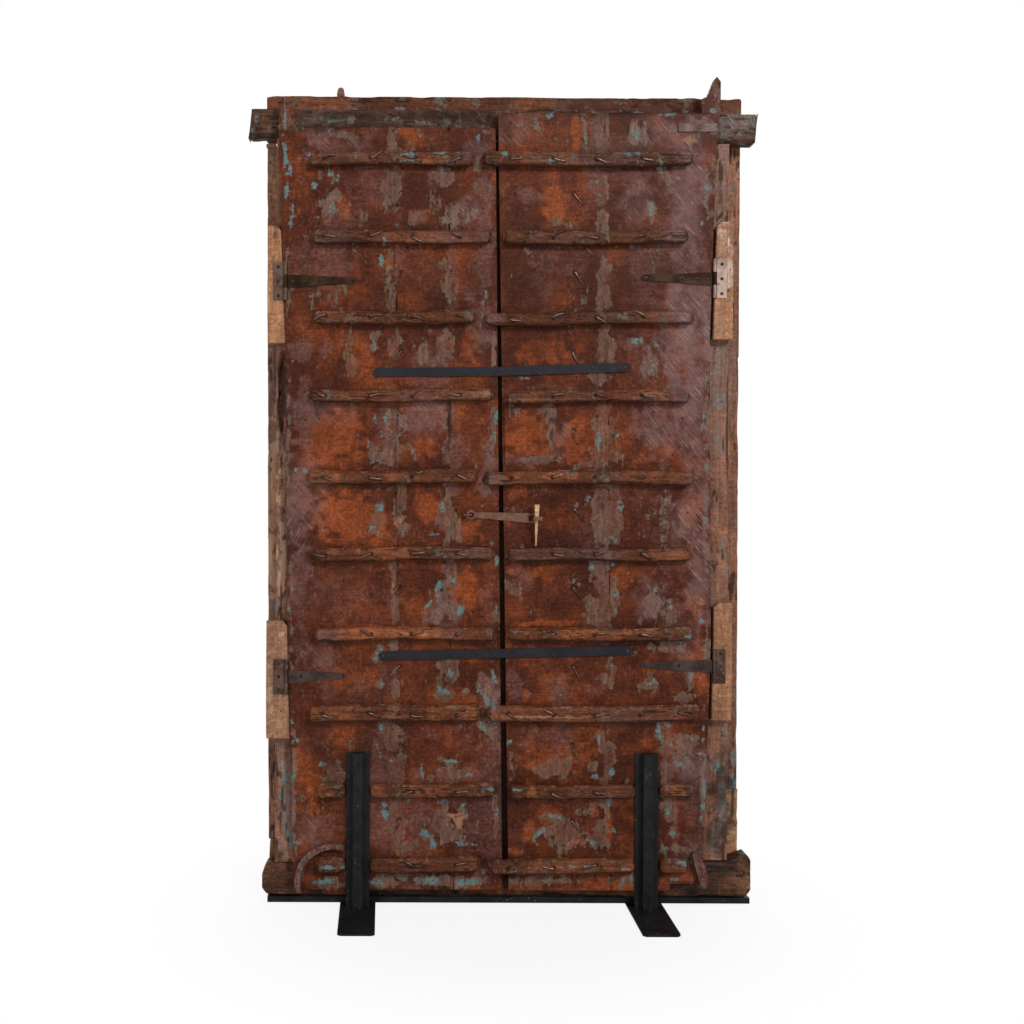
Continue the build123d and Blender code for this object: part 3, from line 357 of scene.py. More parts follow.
# Places on the battened face that carry a layer of old paint, a film, dirt, scratches, painted shade and
# painted light.
# Each is an ellipse: x, z, half width and half height in millimetres, lean in degrees, strength in hundredths
patches = {
    "bare": [
        (-307, 889, 6, 39, 0, 50), (-24, 2042, 14, 11, 0, 50), (512, 2144, 22, 17, 0, 60),
        (515, 1771, 28, 11, 0, 30), (98, 2077, 22, 4, 0, 60), (42, 2084, 11, 4, 0, 60),
        (-169, 2083, 22, 4, 0, 60), (-539, 1429, 14, 17, 0, 50), (-44, 1428, 17, 14, 0, 60),
        (-60, 552, 28, 14, 0, 50), (-297, 1084, 17, 33, 0, 60), (-310, 1334, 19, 28, 0, 50),
        (-284, 750, 83, 6, 0, 40), (-127, 251, 39, 33, 0, 60), (207, 184, 44, 22, 0, 50),
        (462, 728, 22, 14, 0, 50), (163, 542, 167, 6, 0, 60), (255, 1130, 11, 56, 0, 40),
        (-242, 773, 56, 6, 0, 40), (526, 340, 33, 8, 0, 50), (-503, 323, 44, 11, 0, 50),
        (555, 131, 14, 56, 0, 40), (270, 1088, 11, 67, 0, 30), (-646, 1220, 22, 167, 0, 80),
        (-650, 967, 22, 167, 0, 70), (-616, 912, 11, 167, 0, 70), (-658, 2033, 17, 111, 0, 50),
        (-660, 1613, 14, 167, 0, 50), (-618, 1192, 11, 111, 0, 60), (-647, 575, 14, 167, 0, 50),
        (649, 1707, 11, 167, 0, 40), (611, 1931, 14, 28, 0, 50),
    ],
    "film": [
        (284, 1088, 25, 72, 0, 90), (277, 1183, 17, 39, 0, 60), (290, 960, 17, 44, 0, 60),
        (433, 1534, 39, 111, 0, 42), (459, 1090, 33, 139, 0, 40), (417, 1840, 39, 83, 0, 36),
        (439, 811, 33, 72, 0, 40), (-607, 2216, 19, 50, 0, 90), (-573, 2188, 22, 11, 0, 60),
        (589, 2258, 11, 44, 0, 80), (-448, 2153, 83, 11, -8, 60), (-156, 2183, 83, 8, 0, 40),
        (-308, 2112, 22, 78, 0, 75), (-313, 2001, 25, 61, 0, 85), (-314, 1723, 19, 83, 0, 60),
        (-307, 1551, 19, 56, 0, 80), (-302, 1348, 33, 56, 0, 95), (-304, 1273, 28, 39, 0, 100),
        (-254, 1273, 8, 33, 25, 90), (-289, 1125, 22, 72, -14, 100), (-315, 1167, 39, 8, 5, 80),
        (-305, 931, 6, 61, 0, 90), (-298, 828, 11, 44, 0, 70), (-306, 722, 22, 33, 0, 70),
        (-299, 611, 14, 56, 0, 80), (-307, 486, 33, 61, 8, 100), (-295, 389, 25, 50, 0, 100),
        (-291, 244, 22, 83, 0, 100), (-279, 172, 33, 17, 0, 80), (-166, 2030, 39, 33, 0, 90),
        (-148, 1933, 33, 44, 0, 70), (-158, 1738, 25, 83, 0, 60), (-159, 1557, 31, 44, 10, 100),
        (-150, 1385, 19, 61, 0, 90), (-154, 1279, 22, 44, 0, 80), (-156, 1099, 25, 89, 0, 100),
        (-141, 1040, 22, 33, 0, 90), (-146, 940, 22, 44, 8, 100), (-168, 848, 28, 50, -20, 100),
        (-134, 829, 33, 25, -30, 90), (-150, 662, 25, 56, 0, 90), (-155, 598, 22, 28, -30, 90),
        (-150, 376, 56, 25, 6, 100), (-170, 417, 33, 11, 0, 70), (-154, 234, 61, 61, 0, 80),
        (-482, 1958, 25, 61, -20, 80), (-487, 1861, 28, 39, 0, 50), (-429, 1550, 17, 95, -3, 80),
        (-423, 1494, 14, 28, 0, 90), (-220, 1549, 17, 28, 0, 100), (-357, 1567, 14, 39, 0, 90),
        (-357, 1264, 22, 33, 0, 100), (-261, 2113, 33, 39, 0, 50), (-348, 1097, 14, 39, -18, 90),
        (-364, 1055, 25, 17, 0, 90), (-280, 1056, 19, 31, 0, 70), (-29, 1558, 8, 83, 0, 90),
        (-27, 1336, 8, 111, 0, 80), (-53, 1155, 17, 28, 10, 90), (-46, 1308, 22, 44, 0, 40),
        (-17, 822, 11, 33, 0, 90), (-38, 613, 31, 47, 25, 100), (-40, 507, 33, 31, 0, 100),
        (-344, 705, 17, 33, 0, 90), (-338, 630, 14, 17, 0, 90), (-107, 599, 14, 11, 0, 80),
        (-461, 371, 33, 33, 0, 90), (-142, 409, 33, 8, 0, 80), (-97, 385, 17, 22, 0, 90),
        (-18, 252, 11, 78, 0, 90), (-68, 229, 11, 22, 0, 60), (-555, 303, 17, 11, 0, 60),
        (-251, 1918, 44, 22, 10, 80), (-193, 1960, 22, 61, 0, 50), (-71, 2031, 28, 56, 0, 50),
        (-519, 1694, 22, 61, 0, 40), (-444, 1736, 19, 39, 0, 50), (-390, 1931, 22, 39, 0, 50),
        (-98, 1933, 28, 28, 20, 60), (270, 2158, 28, 61, 0, 80), (263, 2006, 22, 56, 0, 90),
        (272, 1908, 19, 39, 0, 80), (276, 1742, 22, 95, 0, 80), (283, 1555, 25, 72, 8, 90),
        (261, 1488, 25, 28, -20, 90), (273, 1394, 22, 28, 0, 90), (284, 1333, 31, 50, 0, 100),
        (282, 1261, 50, 33, 0, 100), (224, 1238, 33, 11, 8, 90), (261, 1102, 14, 89, 0, 80),
        (311, 1102, 22, 83, 0, 100), (304, 1033, 22, 22, 0, 90), (265, 935, 28, 56, 0, 90),
        (249, 852, 25, 22, 20, 90), (291, 866, 28, 95, 6, 100), (264, 816, 42, 22, 0, 100),
        (304, 666, 11, 50, 0, 100), (276, 641, 17, 14, 0, 90), (275, 471, 14, 44, 8, 90),
        (295, 407, 22, 56, -8, 100), (253, 399, 14, 22, -30, 90), (284, 296, 28, 44, 0, 90),
        (277, 212, 28, 61, 0, 80), (255, 184, 28, 22, 0, 80), (222, 2164, 11, 50, 0, 90),
        (80, 2182, 39, 22, 0, 50), (373, 2159, 33, 33, 35, 80), (434, 2062, 17, 50, 20, 80),
        (408, 1945, 17, 39, -10, 80), (512, 2144, 25, 17, 0, 90), (58, 1473, 22, 8, 0, 90),
        (108, 1493, 33, 11, 30, 80), (363, 1575, 25, 19, 0, 100), (408, 1520, 25, 56, 12, 80),
        (438, 1548, 14, 44, 0, 70), (137, 1379, 25, 39, 0, 70), (132, 1318, 14, 50, 8, 80),
        (31, 1387, 22, 33, 0, 50), (102, 1248, 72, 11, 0, 60), (35, 892, 19, 33, 0, 50),
        (77, 836, 22, 22, 0, 50), (411, 850, 25, 33, 20, 90), (475, 834, 14, 39, 0, 100),
        (462, 728, 39, 22, 0, 90), (417, 728, 22, 11, -30, 90), (412, 628, 31, 25, 0, 100),
        (523, 640, 11, 39, 0, 80), (507, 590, 44, 14, 0, 70), (452, 489, 28, 36, 0, 100),
        (475, 450, 50, 39, 0, 80), (525, 473, 22, 22, 0, 80), (509, 409, 44, 22, -25, 70),
        (453, 395, 11, 83, 0, 80), (156, 392, 61, 28, 8, 80), (30, 419, 14, 72, 0, 50),
        (171, 209, 61, 50, 0, 80), (143, 248, 33, 11, -8, 90), (101, 208, 25, 11, 45, 90),
        (562, 326, 11, 95, 0, 90), (462, 270, 25, 39, 0, 80), (477, 211, 19, 14, 0, 90),
        (499, 167, 56, 11, -15, 90), (455, 172, 14, 22, 0, 70), (234, 276, 39, 19, 0, 70),
        (560, 1702, 11, 111, 0, 50), (563, 1980, 14, 111, 0, 50), (565, 1368, 11, 222, 0, 75),
        (564, 1090, 11, 167, 0, 70), (567, 757, 11, 83, 0, 60), (-597, 1693, 11, 222, 0, 50),
        (-599, 1304, 8, 167, 0, 60), (-588, 859, 8, 222, 0, 50), (-583, 331, 11, 195, 0, 80),
        (152, 1907, 33, 17, 0, 50), (209, 1699, 28, 50, 0, 35), (-153, 76, 95, 19, 0, 100),
        (-473, 70, 39, 17, 0, 80), (-320, 72, 39, 17, 0, 80), (111, 75, 100, 17, 0, 80),
        (333, 82, 61, 17, 0, 60), (50, 86, 22, 17, 0, 50), (615, 2066, 14, 95, 0, 100),
        (613, 1965, 14, 67, 0, 100), (-640, 70, 33, 28, 0, 20), (617, 1813, 25, 133, 0, 95),
        (617, 1931, 22, 56, 0, 80), (547, 2178, 72, 33, 0, 75), (665, 2190, 56, 33, 0, 70),
        (-575, 2180, 83, 28, 0, 50), (-278, 95, 167, 17, 0, 50), (171, 98, 139, 17, 0, 50),
        (-54, 108, 111, 17, 0, 50), (673, 2218, 56, 33, 0, 90), (592, 2184, 39, 28, 0, 60),
        (619, 1987, 14, 83, 0, 90), (603, 1482, 14, 111, 0, 90), (602, 1314, 17, 56, 0, 90),
        (628, 1482, 11, 167, 0, 50), (-657, 1220, 22, 56, 0, 90), (-647, 1290, 22, 39, 0, 90),
        (-616, 1262, 11, 56, 0, 60), (-656, 1023, 22, 39, 0, 80), (-621, 940, 14, 56, 0, 90),
        (-649, 827, 17, 28, 0, 70), (-609, 407, 17, 83, 0, 90), (-608, 238, 17, 111, 0, 90),
        (624, 304, 25, 95, 0, 100), (612, 388, 22, 28, 0, 90), (608, 192, 22, 56, 0, 80),
        (637, 416, 8, 83, 0, 90), (-652, 575, 11, 56, 0, 50), (624, 977, 17, 56, 0, 50),
        (620, 23, 56, 14, 0, 40), (-673, 2089, 22, 56, 0, 60),
    ],
    "teal": [
        (-609, 2216, 8, 39, 0, 70), (-598, 2249, 6, 17, 0, 60), (-617, 2152, 6, 28, 0, 70),
        (-72, 2142, 11, 22, 0, 70), (-61, 2184, 11, 17, 0, 60), (-49, 1697, 8, 56, 0, 50),
        (-593, 1915, 8, 22, 0, 70), (578, 2225, 7, 11, 0, 100), (583, 2272, 6, 17, 0, 60),
        (-608, 2096, 7, 36, 0, 80), (-594, 2054, 8, 22, 0, 80), (-602, 1993, 8, 25, 0, 90),
        (-590, 1940, 8, 25, 0, 80), (-527, 2008, 8, 11, 0, 80), (-483, 2052, 14, 14, 30, 80),
        (-469, 2025, 14, 11, 20, 80), (-496, 1983, 8, 28, -20, 70), (-479, 1939, 8, 28, -20, 70),
        (-511, 2038, 8, 14, 0, 70), (-542, 2083, 8, 17, 0, 70), (-242, 2166, 11, 14, 0, 90),
        (-272, 2090, 25, 8, 0, 90), (-263, 2074, 47, 4, 0, 90), (-177, 2097, 28, 6, 0, 90),
        (-111, 2094, 11, 6, 0, 80), (-53, 2161, 11, 11, 0, 70), (-163, 2052, 25, 8, 20, 70),
        (-43, 2011, 8, 11, 0, 50), (-342, 1801, 7, 22, 0, 80), (-334, 1853, 6, 17, 0, 70),
        (-357, 1567, 7, 28, 0, 80), (-355, 1361, 6, 33, 0, 95), (-338, 1311, 6, 33, 10, 80),
        (-327, 1370, 6, 22, -15, 80), (-357, 1242, 19, 8, 0, 60), (-374, 1283, 6, 22, 0, 50),
        (-249, 1268, 6, 25, 30, 70), (-342, 1117, 11, 14, 0, 90), (-367, 1061, 17, 8, 0, 80),
        (-350, 1047, 11, 8, 0, 70), (-22, 1378, 6, 28, 0, 80), (-24, 1308, 6, 25, 0, 70),
        (-574, 1218, 7, 7, 0, 100), (-549, 1215, 6, 6, 0, 100), (-167, 1118, 8, 22, 0, 90),
        (-183, 1040, 22, 8, -10, 80), (-147, 1043, 8, 11, 0, 60), (-174, 904, 8, 14, 0, 100),
        (-185, 884, 8, 22, 0, 70), (-207, 851, 8, 28, -35, 80), (-132, 910, 22, 6, -40, 70),
        (-117, 829, 11, 14, -35, 80), (-16, 966, 7, 22, 0, 100), (-17, 830, 8, 14, 0, 80),
        (-22, 752, 7, 28, 0, 80), (-344, 708, 11, 25, 0, 70), (-338, 630, 11, 11, 0, 80),
        (-147, 651, 17, 14, 0, 80), (-160, 604, 19, 8, -35, 90), (-107, 601, 8, 6, 0, 80),
        (-54, 594, 8, 33, 25, 80), (-21, 641, 8, 33, 20, 90), (-32, 571, 14, 17, 30, 80),
        (-54, 507, 14, 17, 0, 70), (-20, 510, 8, 25, 0, 70), (-337, 502, 10, 17, 0, 100),
        (-348, 444, 6, 33, 20, 80), (-222, 375, 4, 22, 0, 90), (-498, 401, 17, 7, 0, 120),
        (-309, 411, 6, 6, 0, 100), (-585, 517, 7, 11, 0, 80), (-582, 456, 8, 14, 0, 90),
        (-571, 464, 8, 8, 0, 80), (-142, 412, 36, 7, 0, 80), (-94, 368, 14, 8, 10, 90),
        (-86, 404, 7, 8, 0, 70), (-503, 359, 6, 11, 0, 70), (-581, 367, 6, 28, 0, 100),
        (-578, 295, 8, 11, 0, 90), (-568, 184, 11, 8, 0, 90), (-574, 156, 6, 25, 0, 90),
        (-327, 288, 8, 8, 0, 100), (-330, 266, 14, 14, 0, 120), (-210, 214, 14, 11, 0, 90),
        (-193, 181, 14, 19, -35, 90), (-110, 290, 8, 6, 0, 90), (-99, 257, 7, 8, 0, 90),
        (-152, 298, 25, 6, 0, 70), (-123, 182, 14, 8, -20, 80), (-85, 179, 19, 7, 0, 80),
        (-104, 201, 6, 11, 0, 80), (-16, 257, 7, 25, 0, 80), (-263, 297, 11, 8, 20, 70),
        (-201, 78, 39, 14, 0, 80), (-95, 73, 33, 11, 0, 90), (-153, 90, 14, 8, 0, 60),
        (-501, 73, 28, 7, 10, 90), (-356, 71, 22, 8, 0, 70), (-30, 338, 14, 8, 0, 90),
        (-465, 120, 39, 8, 0, 80), (119, 2207, 11, 8, 0, 90), (217, 2197, 8, 8, 0, 90),
        (39, 2184, 17, 8, 0, 60), (83, 2196, 11, 8, 0, 60), (-5, 2095, 11, 8, 0, 90),
        (62, 2090, 6, 6, 0, 90), (126, 2077, 17, 4, 0, 90), (284, 2097, 8, 6, 0, 90),
        (342, 2098, 31, 6, 0, 90), (225, 2144, 6, 28, 0, 60), (257, 2033, 8, 14, 0, 70),
        (268, 1989, 8, 11, 0, 70), (447, 2213, 33, 6, 0, 80), (367, 2154, 11, 25, 40, 70),
        (429, 2068, 8, 33, 20, 70), (408, 1945, 6, 33, -10, 70), (566, 2008, 7, 11, 0, 100),
        (563, 1977, 6, 8, 0, 100), (550, 1910, 7, 8, 0, 100), (58, 1473, 11, 6, 0, 80),
        (369, 1581, 14, 11, 0, 90), (427, 1568, 11, 7, 0, 90), (411, 1506, 8, 39, 8, 60),
        (447, 1501, 6, 33, 0, 60), (562, 1457, 7, 22, 0, 100), (559, 1377, 7, 11, 0, 90),
        (563, 1285, 6, 11, 0, 90), (563, 1229, 6, 28, 0, 70), (564, 1088, 7, 14, 0, 100),
        (245, 1422, 6, 17, 0, 50), (265, 1311, 6, 28, 0, 60), (312, 1311, 6, 33, -8, 60),
        (213, 1232, 17, 6, 10, 60), (236, 1143, 8, 17, -20, 70), (325, 1116, 6, 56, 0, 60),
        (306, 1033, 11, 11, 0, 80), (246, 949, 7, 19, 0, 80), (304, 958, 11, 11, 0, 90),
        (305, 874, 8, 8, 0, 90), (285, 894, 6, 25, 0, 60), (319, 852, 6, 33, 0, 60),
        (233, 804, 11, 14, 0, 60), (424, 889, 7, 11, 0, 80), (472, 845, 8, 25, 0, 60),
        (550, 807, 8, 14, 0, 100), (517, 762, 11, 5, 0, 110), (484, 748, 8, 11, 0, 100),
        (489, 723, 8, 17, -20, 60), (306, 685, 6, 25, 0, 60), (407, 622, 11, 11, 0, 80),
        (426, 633, 11, 14, 0, 70), (526, 654, 7, 14, 0, 90), (430, 497, 11, 19, 0, 80),
        (463, 511, 11, 8, 0, 90), (441, 464, 6, 22, 0, 70), (467, 456, 8, 8, 0, 80),
        (525, 479, 11, 11, 0, 80), (561, 504, 7, 11, 0, 100), (558, 473, 6, 8, 0, 90),
        (545, 434, 11, 6, 0, 90), (498, 403, 19, 7, -30, 80), (22, 466, 7, 7, 0, 80),
        (25, 433, 7, 8, 0, 100), (272, 471, 6, 25, 0, 70), (309, 382, 8, 11, 0, 90),
        (259, 371, 11, 7, 0, 90), (39, 338, 19, 6, 0, 110), (301, 299, 8, 17, 0, 80),
        (313, 221, 10, 11, 0, 90), (249, 184, 17, 11, 0, 80), (143, 256, 22, 6, -8, 80),
        (99, 203, 8, 22, -45, 90), (24, 166, 7, 8, 0, 70), (562, 340, 6, 33, 0, 80),
        (560, 290, 7, 11, 0, 100), (554, 251, 7, 8, 0, 100), (460, 278, 8, 19, 0, 80),
        (477, 211, 14, 6, 0, 70), (458, 172, 11, 8, 0, 70), (527, 156, 8, 17, -30, 70),
        (166, 125, 139, 4, 0, 55), (508, 131, 25, 7, 0, 90), (333, 124, 22, 6, 0, 70),
        (86, 89, 11, 4, 0, 90), (125, 81, 22, 8, 0, 70), (339, 85, 11, 8, 0, 70), (361, 88, 7, 6, 0, 90),
        (478, 81, 11, 4, 0, 110), (39, 1089, 8, 6, 0, 100), (-557, 100, 11, 17, 0, 70),
        (-495, 70, 25, 6, 0, 80), (-596, 178, 5, 17, 0, 90), (666, 327, 8, 61, 0, 90),
        (668, 403, 8, 28, 0, 80), (-489, 2251, 8, 6, 0, 100), (-435, 2260, 8, 6, 0, 100),
        (-469, 2200, 28, 6, 0, 90), (-429, 2198, 17, 8, 0, 80), (-309, 2207, 22, 6, 0, 80),
        (-238, 2194, 22, 6, 0, 80), (-547, 2208, 22, 6, 0, 60), (-154, 2206, 17, 6, 0, 60),
        (-707, 2173, 8, 22, 0, 60), (-374, 2252, 17, 6, 0, 70), (-295, 2252, 17, 6, 0, 70),
        (-183, 2248, 22, 6, 0, 60), (42, 2249, 28, 6, 0, 50), (154, 2247, 22, 6, 0, 60),
        (266, 2248, 22, 6, 0, 50), (547, 2245, 22, 6, 0, 50), (-418, 2249, 8, 6, 0, 90),
        (-239, 2250, 17, 4, 0, 60), (-71, 2254, 11, 4, 0, 60), (378, 2246, 22, 4, 0, 60),
        (-616, 308, 8, 22, 0, 80), (-604, 210, 8, 25, 0, 80), (-596, 188, 8, 28, 0, 100),
        (-608, 350, 8, 28, 0, 70), (-599, 252, 6, 22, 0, 70), (612, 388, 14, 14, 0, 90),
        (623, 366, 11, 8, 0, 80), (632, 304, 7, 39, 0, 100), (629, 332, 17, 28, 0, 50),
        (599, 1314, 8, 17, 0, 60), (639, 458, 6, 56, 0, 80), (-599, 968, 8, 28, 0, 40),
        (-607, 850, 7, 11, 0, 100), (-592, 828, 6, 8, 0, 90), (595, 1440, 6, 14, 0, 60),
        (-693, 2202, 11, 22, 0, 50), (625, 136, 17, 8, 0, 40),
    ],
    "plum": [
        (418, 1701, 67, 167, 0, 60), (448, 1340, 56, 195, 0, 60), (452, 923, 56, 195, 0, 55),
        (-517, 2152, 61, 39, 0, 90), (-373, 2153, 56, 33, 0, 70), (-182, 2030, 44, 39, 0, 100),
        (-432, 2000, 39, 44, 0, 60), (-59, 1920, 33, 250, 0, 90), (-486, 1799, 72, 50, 0, 60),
        (-236, 1801, 50, 44, 0, 50), (-554, 1554, 67, 39, 0, 90), (-96, 1697, 28, 56, 0, 80),
        (-553, 1360, 39, 111, 0, 90), (-565, 1137, 39, 83, 0, 80), (-205, 1404, 67, 28, -10, 80),
        (-219, 1348, 50, 39, -30, 60), (-68, 1586, 39, 28, 0, 60), (-286, 1056, 22, 33, 0, 90),
        (-46, 1225, 28, 56, 0, 90), (-563, 915, 39, 111, 0, 80), (-451, 860, 139, 39, 0, 40),
        (-34, 863, 33, 111, 0, 60), (-561, 720, 33, 83, 0, 70), (-226, 487, 167, 22, 0, 60),
        (-87, 460, 67, 39, 0, 60), (-502, 220, 72, 67, 0, 70), (-57, 252, 44, 56, 0, 60),
        (-86, 363, 67, 17, 0, 60), (-420, 471, 139, 28, 0, 50), (60, 1984, 44, 25, 0, 100),
        (261, 2172, 39, 50, 0, 90), (373, 2034, 56, 56, 0, 70), (513, 1980, 61, 167, 0, 90),
        (431, 1757, 83, 67, 0, 60), (516, 1618, 61, 139, 0, 90), (156, 1449, 139, 22, 0, 60),
        (321, 1575, 39, 28, 0, 60), (379, 1339, 61, 61, 0, 80), (134, 1387, 39, 33, 0, 100),
        (517, 1424, 67, 111, 0, 90), (268, 1255, 61, 28, 0, 70), (46, 1248, 67, 22, 0, 80),
        (380, 1145, 111, 50, 0, 50), (519, 1146, 39, 83, 0, 50), (49, 920, 39, 61, 0, 70),
        (271, 921, 28, 67, 0, 90), (521, 896, 33, 83, 0, 50), (161, 712, 139, 33, 0, 50),
        (37, 614, 33, 50, 0, 80), (246, 615, 50, 28, 0, 60), (275, 477, 111, 33, 0, 40),
        (108, 475, 83, 39, 0, 60), (525, 395, 50, 56, 0, 70), (165, 309, 139, 22, 0, 60),
        (387, 311, 72, 28, 0, 40), (499, 256, 44, 50, 0, 50), (54, 225, 28, 56, 0, 50),
        (166, 86, 167, 22, 0, 50), (-446, 137, 39, 22, 0, 60), (-611, 743, 11, 56, 0, 60),
        (-660, 1613, 17, 111, 0, 60), (619, 865, 22, 111, 0, 60), (610, 1286, 22, 111, 0, 60),
        (627, 585, 22, 111, 0, 50), (-622, 1024, 17, 83, 0, 60), (659, 2212, 67, 44, 0, 70),
        (-575, 2202, 83, 28, 0, 50), (-616, 1697, 11, 167, 0, 40),
    ],
    "glow": [
        (-575, 2077, 8, 17, 0, 100), (-582, 1982, 8, 14, 0, 100), (-571, 1941, 8, 14, 0, 100),
        (-454, 1958, 22, 44, 0, 70), (-258, 2140, 39, 39, 0, 90), (-237, 1927, 36, 22, 0, 80),
        (-32, 2037, 11, 17, 0, 60), (197, 2158, 14, 47, 0, 100), (141, 1957, 44, 50, 0, 80),
        (-458, 1750, 72, 56, 0, 50), (-249, 1696, 44, 44, 0, 60), (140, 1727, 83, 56, 0, 50),
        (-401, 1542, 50, 61, 0, 60), (-483, 1305, 111, 78, 0, 100), (-232, 1279, 56, 33, 0, 90),
        (-95, 1572, 22, 56, 0, 80), (-94, 1335, 50, 67, 0, 50), (-206, 1474, 111, 17, 0, 40),
        (-425, 1083, 122, 72, 0, 100), (-203, 1126, 44, 44, 0, 80), (-91, 1058, 39, 39, 0, 90),
        (113, 1546, 83, 33, 0, 90), (73, 1309, 67, 67, 0, 110), (185, 1296, 56, 56, 0, 90),
        (47, 1156, 39, 22, 0, 70), (159, 1087, 72, 44, 0, 50), (520, 1118, 39, 44, 0, 90),
        (435, 1270, 56, 28, 0, 70), (104, 934, 72, 22, 0, 80), (119, 795, 111, 8, 0, 110),
        (327, 922, 56, 39, 0, 60), (536, 840, 28, 39, 0, 90), (-104, 891, 39, 61, 0, 90),
        (-229, 862, 50, 39, 0, 50), (-534, 804, 83, 39, 0, 40), (-436, 638, 111, 33, 0, 60),
        (-171, 584, 83, 44, 0, 70), (-310, 583, 22, 39, 0, 90), (-72, 710, 33, 22, 0, 60),
        (148, 615, 44, 44, 0, 60), (68, 597, 8, 17, 0, 110), (412, 686, 39, 50, 0, 60),
        (551, 673, 22, 139, 0, 60), (-448, 476, 39, 39, 0, 50), (164, 420, 111, 56, 0, 80),
        (386, 422, 44, 61, 0, 50), (-559, 401, 33, 61, 0, 100), (-525, 331, 25, 83, 0, 90),
        (-86, 376, 33, 33, 0, 80), (-223, 167, 83, 28, 0, 80), (-307, 208, 39, 56, 0, 80),
        (254, 279, 19, 22, 0, 120), (296, 227, 14, 44, 0, 130), (82, 211, 22, 33, 0, 100),
        (137, 267, 22, 17, 0, 80), (359, 283, 44, 67, 0, 40), (476, 311, 28, 83, 0, 60),
        (464, 464, 22, 56, 0, 90), (-289, 1403, 83, 11, 0, 40), (406, 1437, 28, 11, 0, 100),
        (81, 336, 14, 14, 0, 100), (-58, 321, 33, 8, 0, 70), (-556, 81, 39, 11, 0, 80),
        (500, 89, 44, 11, 0, 90), (32, 161, 28, 17, 0, 80), (158, 1207, 50, 11, 0, 70),
        (-301, 1203, 72, 14, 0, 50), (-284, 772, 139, 14, 0, 70), (244, 768, 167, 14, 0, 70),
        # the first two patches on this line are painted light, lifting the shade the leaves cast along the
        # sill
        (3, 52, 334, 22, 0, 60), (339, 60, 167, 22, 0, 50), (662, 66, 56, 39, 0, 70),
        (624, 1033, 17, 33, 0, 100), (631, 1146, 11, 28, 0, 80), (624, 949, 14, 39, 0, 80),
        (-650, 294, 11, 83, 0, 70), (-651, 462, 11, 39, 0, 60), (-618, 1192, 8, 56, 0, 40),
        (606, 1847, 11, 28, 0, 40), (664, 164, 17, 111, 0, 60),
    ],
    "dirt_and_shade": [
        (-236, 1751, 95, 78, 0, 50), (-448, 415, 150, 89, 0, 52), (-505, 609, 111, 67, 0, 42),
        (-199, 612, 83, 83, 0, 38), (-83, 1753, 56, 89, 0, 46), (-236, 1737, 100, 72, 0, 48),
        (-80, 1739, 44, 95, 0, 50), (84, 1740, 95, 83, 0, 45), (320, 1742, 56, 72, 0, 30),
        (-71, 1933, 39, 72, 0, 30), (160, 865, 111, 39, 0, 35), (383, 867, 56, 67, 0, 30),
        (-203, 1140, 56, 39, 0, 20), (-504, 443, 72, 44, 0, 30), (442, 422, 56, 39, 0, 30),
        (-517, 2172, 67, 22, 0, 80), (-406, 2195, 111, 17, 0, 50), (-72, 2128, 39, 44, 0, 50),
        (262, 2117, 167, 17, 0, 40), (-543, 1944, 50, 50, 0, 30), (-14, 1878, 33, 39, 0, 30),
        (429, 2076, 111, 22, 0, 40), (-487, 1888, 61, 22, 0, 50), (-209, 1891, 72, 17, 0, 50),
        (-149, 1349, 8, 67, 0, 80), (134, 1318, 7, 19, 0, 90), (-154, 1285, 8, 25, 20, 60),
        (-302, 931, 4, 56, 0, 60), (-270, 411, 8, 28, 25, 60), (383, 811, 83, 11, 0, 30),
        (-358, 333, 22, 22, 0, 30), (-529, 137, 56, 22, 0, 40), (555, 145, 28, 83, 0, 50),
        (522, 812, 39, 17, 0, 30), (-155, 306, 139, 6, 0, 30), (166, 86, 167, 8, 0, 40),
        (-501, 103, 56, 17, 0, 40), (-48, 1197, 8, 17, 0, 100), (-54, 541, 11, 19, 0, 100),
        (-48, 124, 8, 17, 0, 100), (-273, 72, 19, 17, 0, 45), (165, 309, 139, 6, 0, 30),
        (-486, 1783, 56, 22, 0, 30), (-457, 1597, 111, 28, 0, 30), (-98, 1850, 44, 28, 0, 35),
        (402, 1882, 83, 17, 0, 30), (610, 2015, 7, 83, 0, 55), (616, 1948, 8, 39, 0, 50),
        (-648, 64, 44, 39, 0, 55), (-666, 131, 61, 33, 0, 75), (-559, 110, 72, 22, 0, 50),
        (624, 304, 39, 111, 0, 75), (619, 203, 44, 56, 0, 80), (628, 411, 28, 44, 0, 50),
        # the thin lines from here on, under the lintel and head casing and along the leaves' outer edges, are
        # painted shade
        (-14, 2201, 167, 28, 0, 35), (-617, 1459, 11, 122, 0, 90), (-693, 2179, 22, 28, 0, 50),
        (-70, 2237, 612, 4, 0, 110), (-491, 2240, 167, 4, 0, 100), (635, 1342, 6, 167, 0, 120),
        (640, 1034, 6, 167, 0, 110), (-637, 1837, 6, 167, 0, 60), (-639, 350, 4, 167, 0, 110),
        (-632, 154, 7, 33, 0, 130), (667, 1988, 6, 111, 0, 60), (-351, 2182, 167, 7, 0, 60),
        (154, 2191, 167, 6, 0, 50), (-491, 2217, 139, 14, 0, 60), (-154, 2211, 167, 17, 0, 80),
        (266, 2215, 167, 17, 0, 70), (-587, 70, 83, 28, 0, 60), (-643, 70, 33, 33, 0, 50),
        (620, 80, 67, 28, 0, 20), (-618, 1978, 11, 111, 0, 50), (624, 276, 25, 95, 0, 75),
        (614, 164, 22, 39, 0, 70), (-589, 407, 8, 167, 0, 50), (-608, 294, 11, 167, 0, 40),
        (602, 865, 8, 83, 0, 30), (659, 2184, 28, 28, 0, 30), (-295, 2238, 334, 6, 0, 80),
        (266, 2237, 334, 6, 0, 80),
    ],
    "hatch": [
        (518, 2035, 61, 195, 0, 80), (514, 1868, 61, 139, 0, 80), (527, 1618, 61, 167, 0, 100),
        (515, 1702, 56, 111, 0, 70), (523, 1424, 61, 167, 0, 90), (538, 1229, 39, 111, 0, 80),
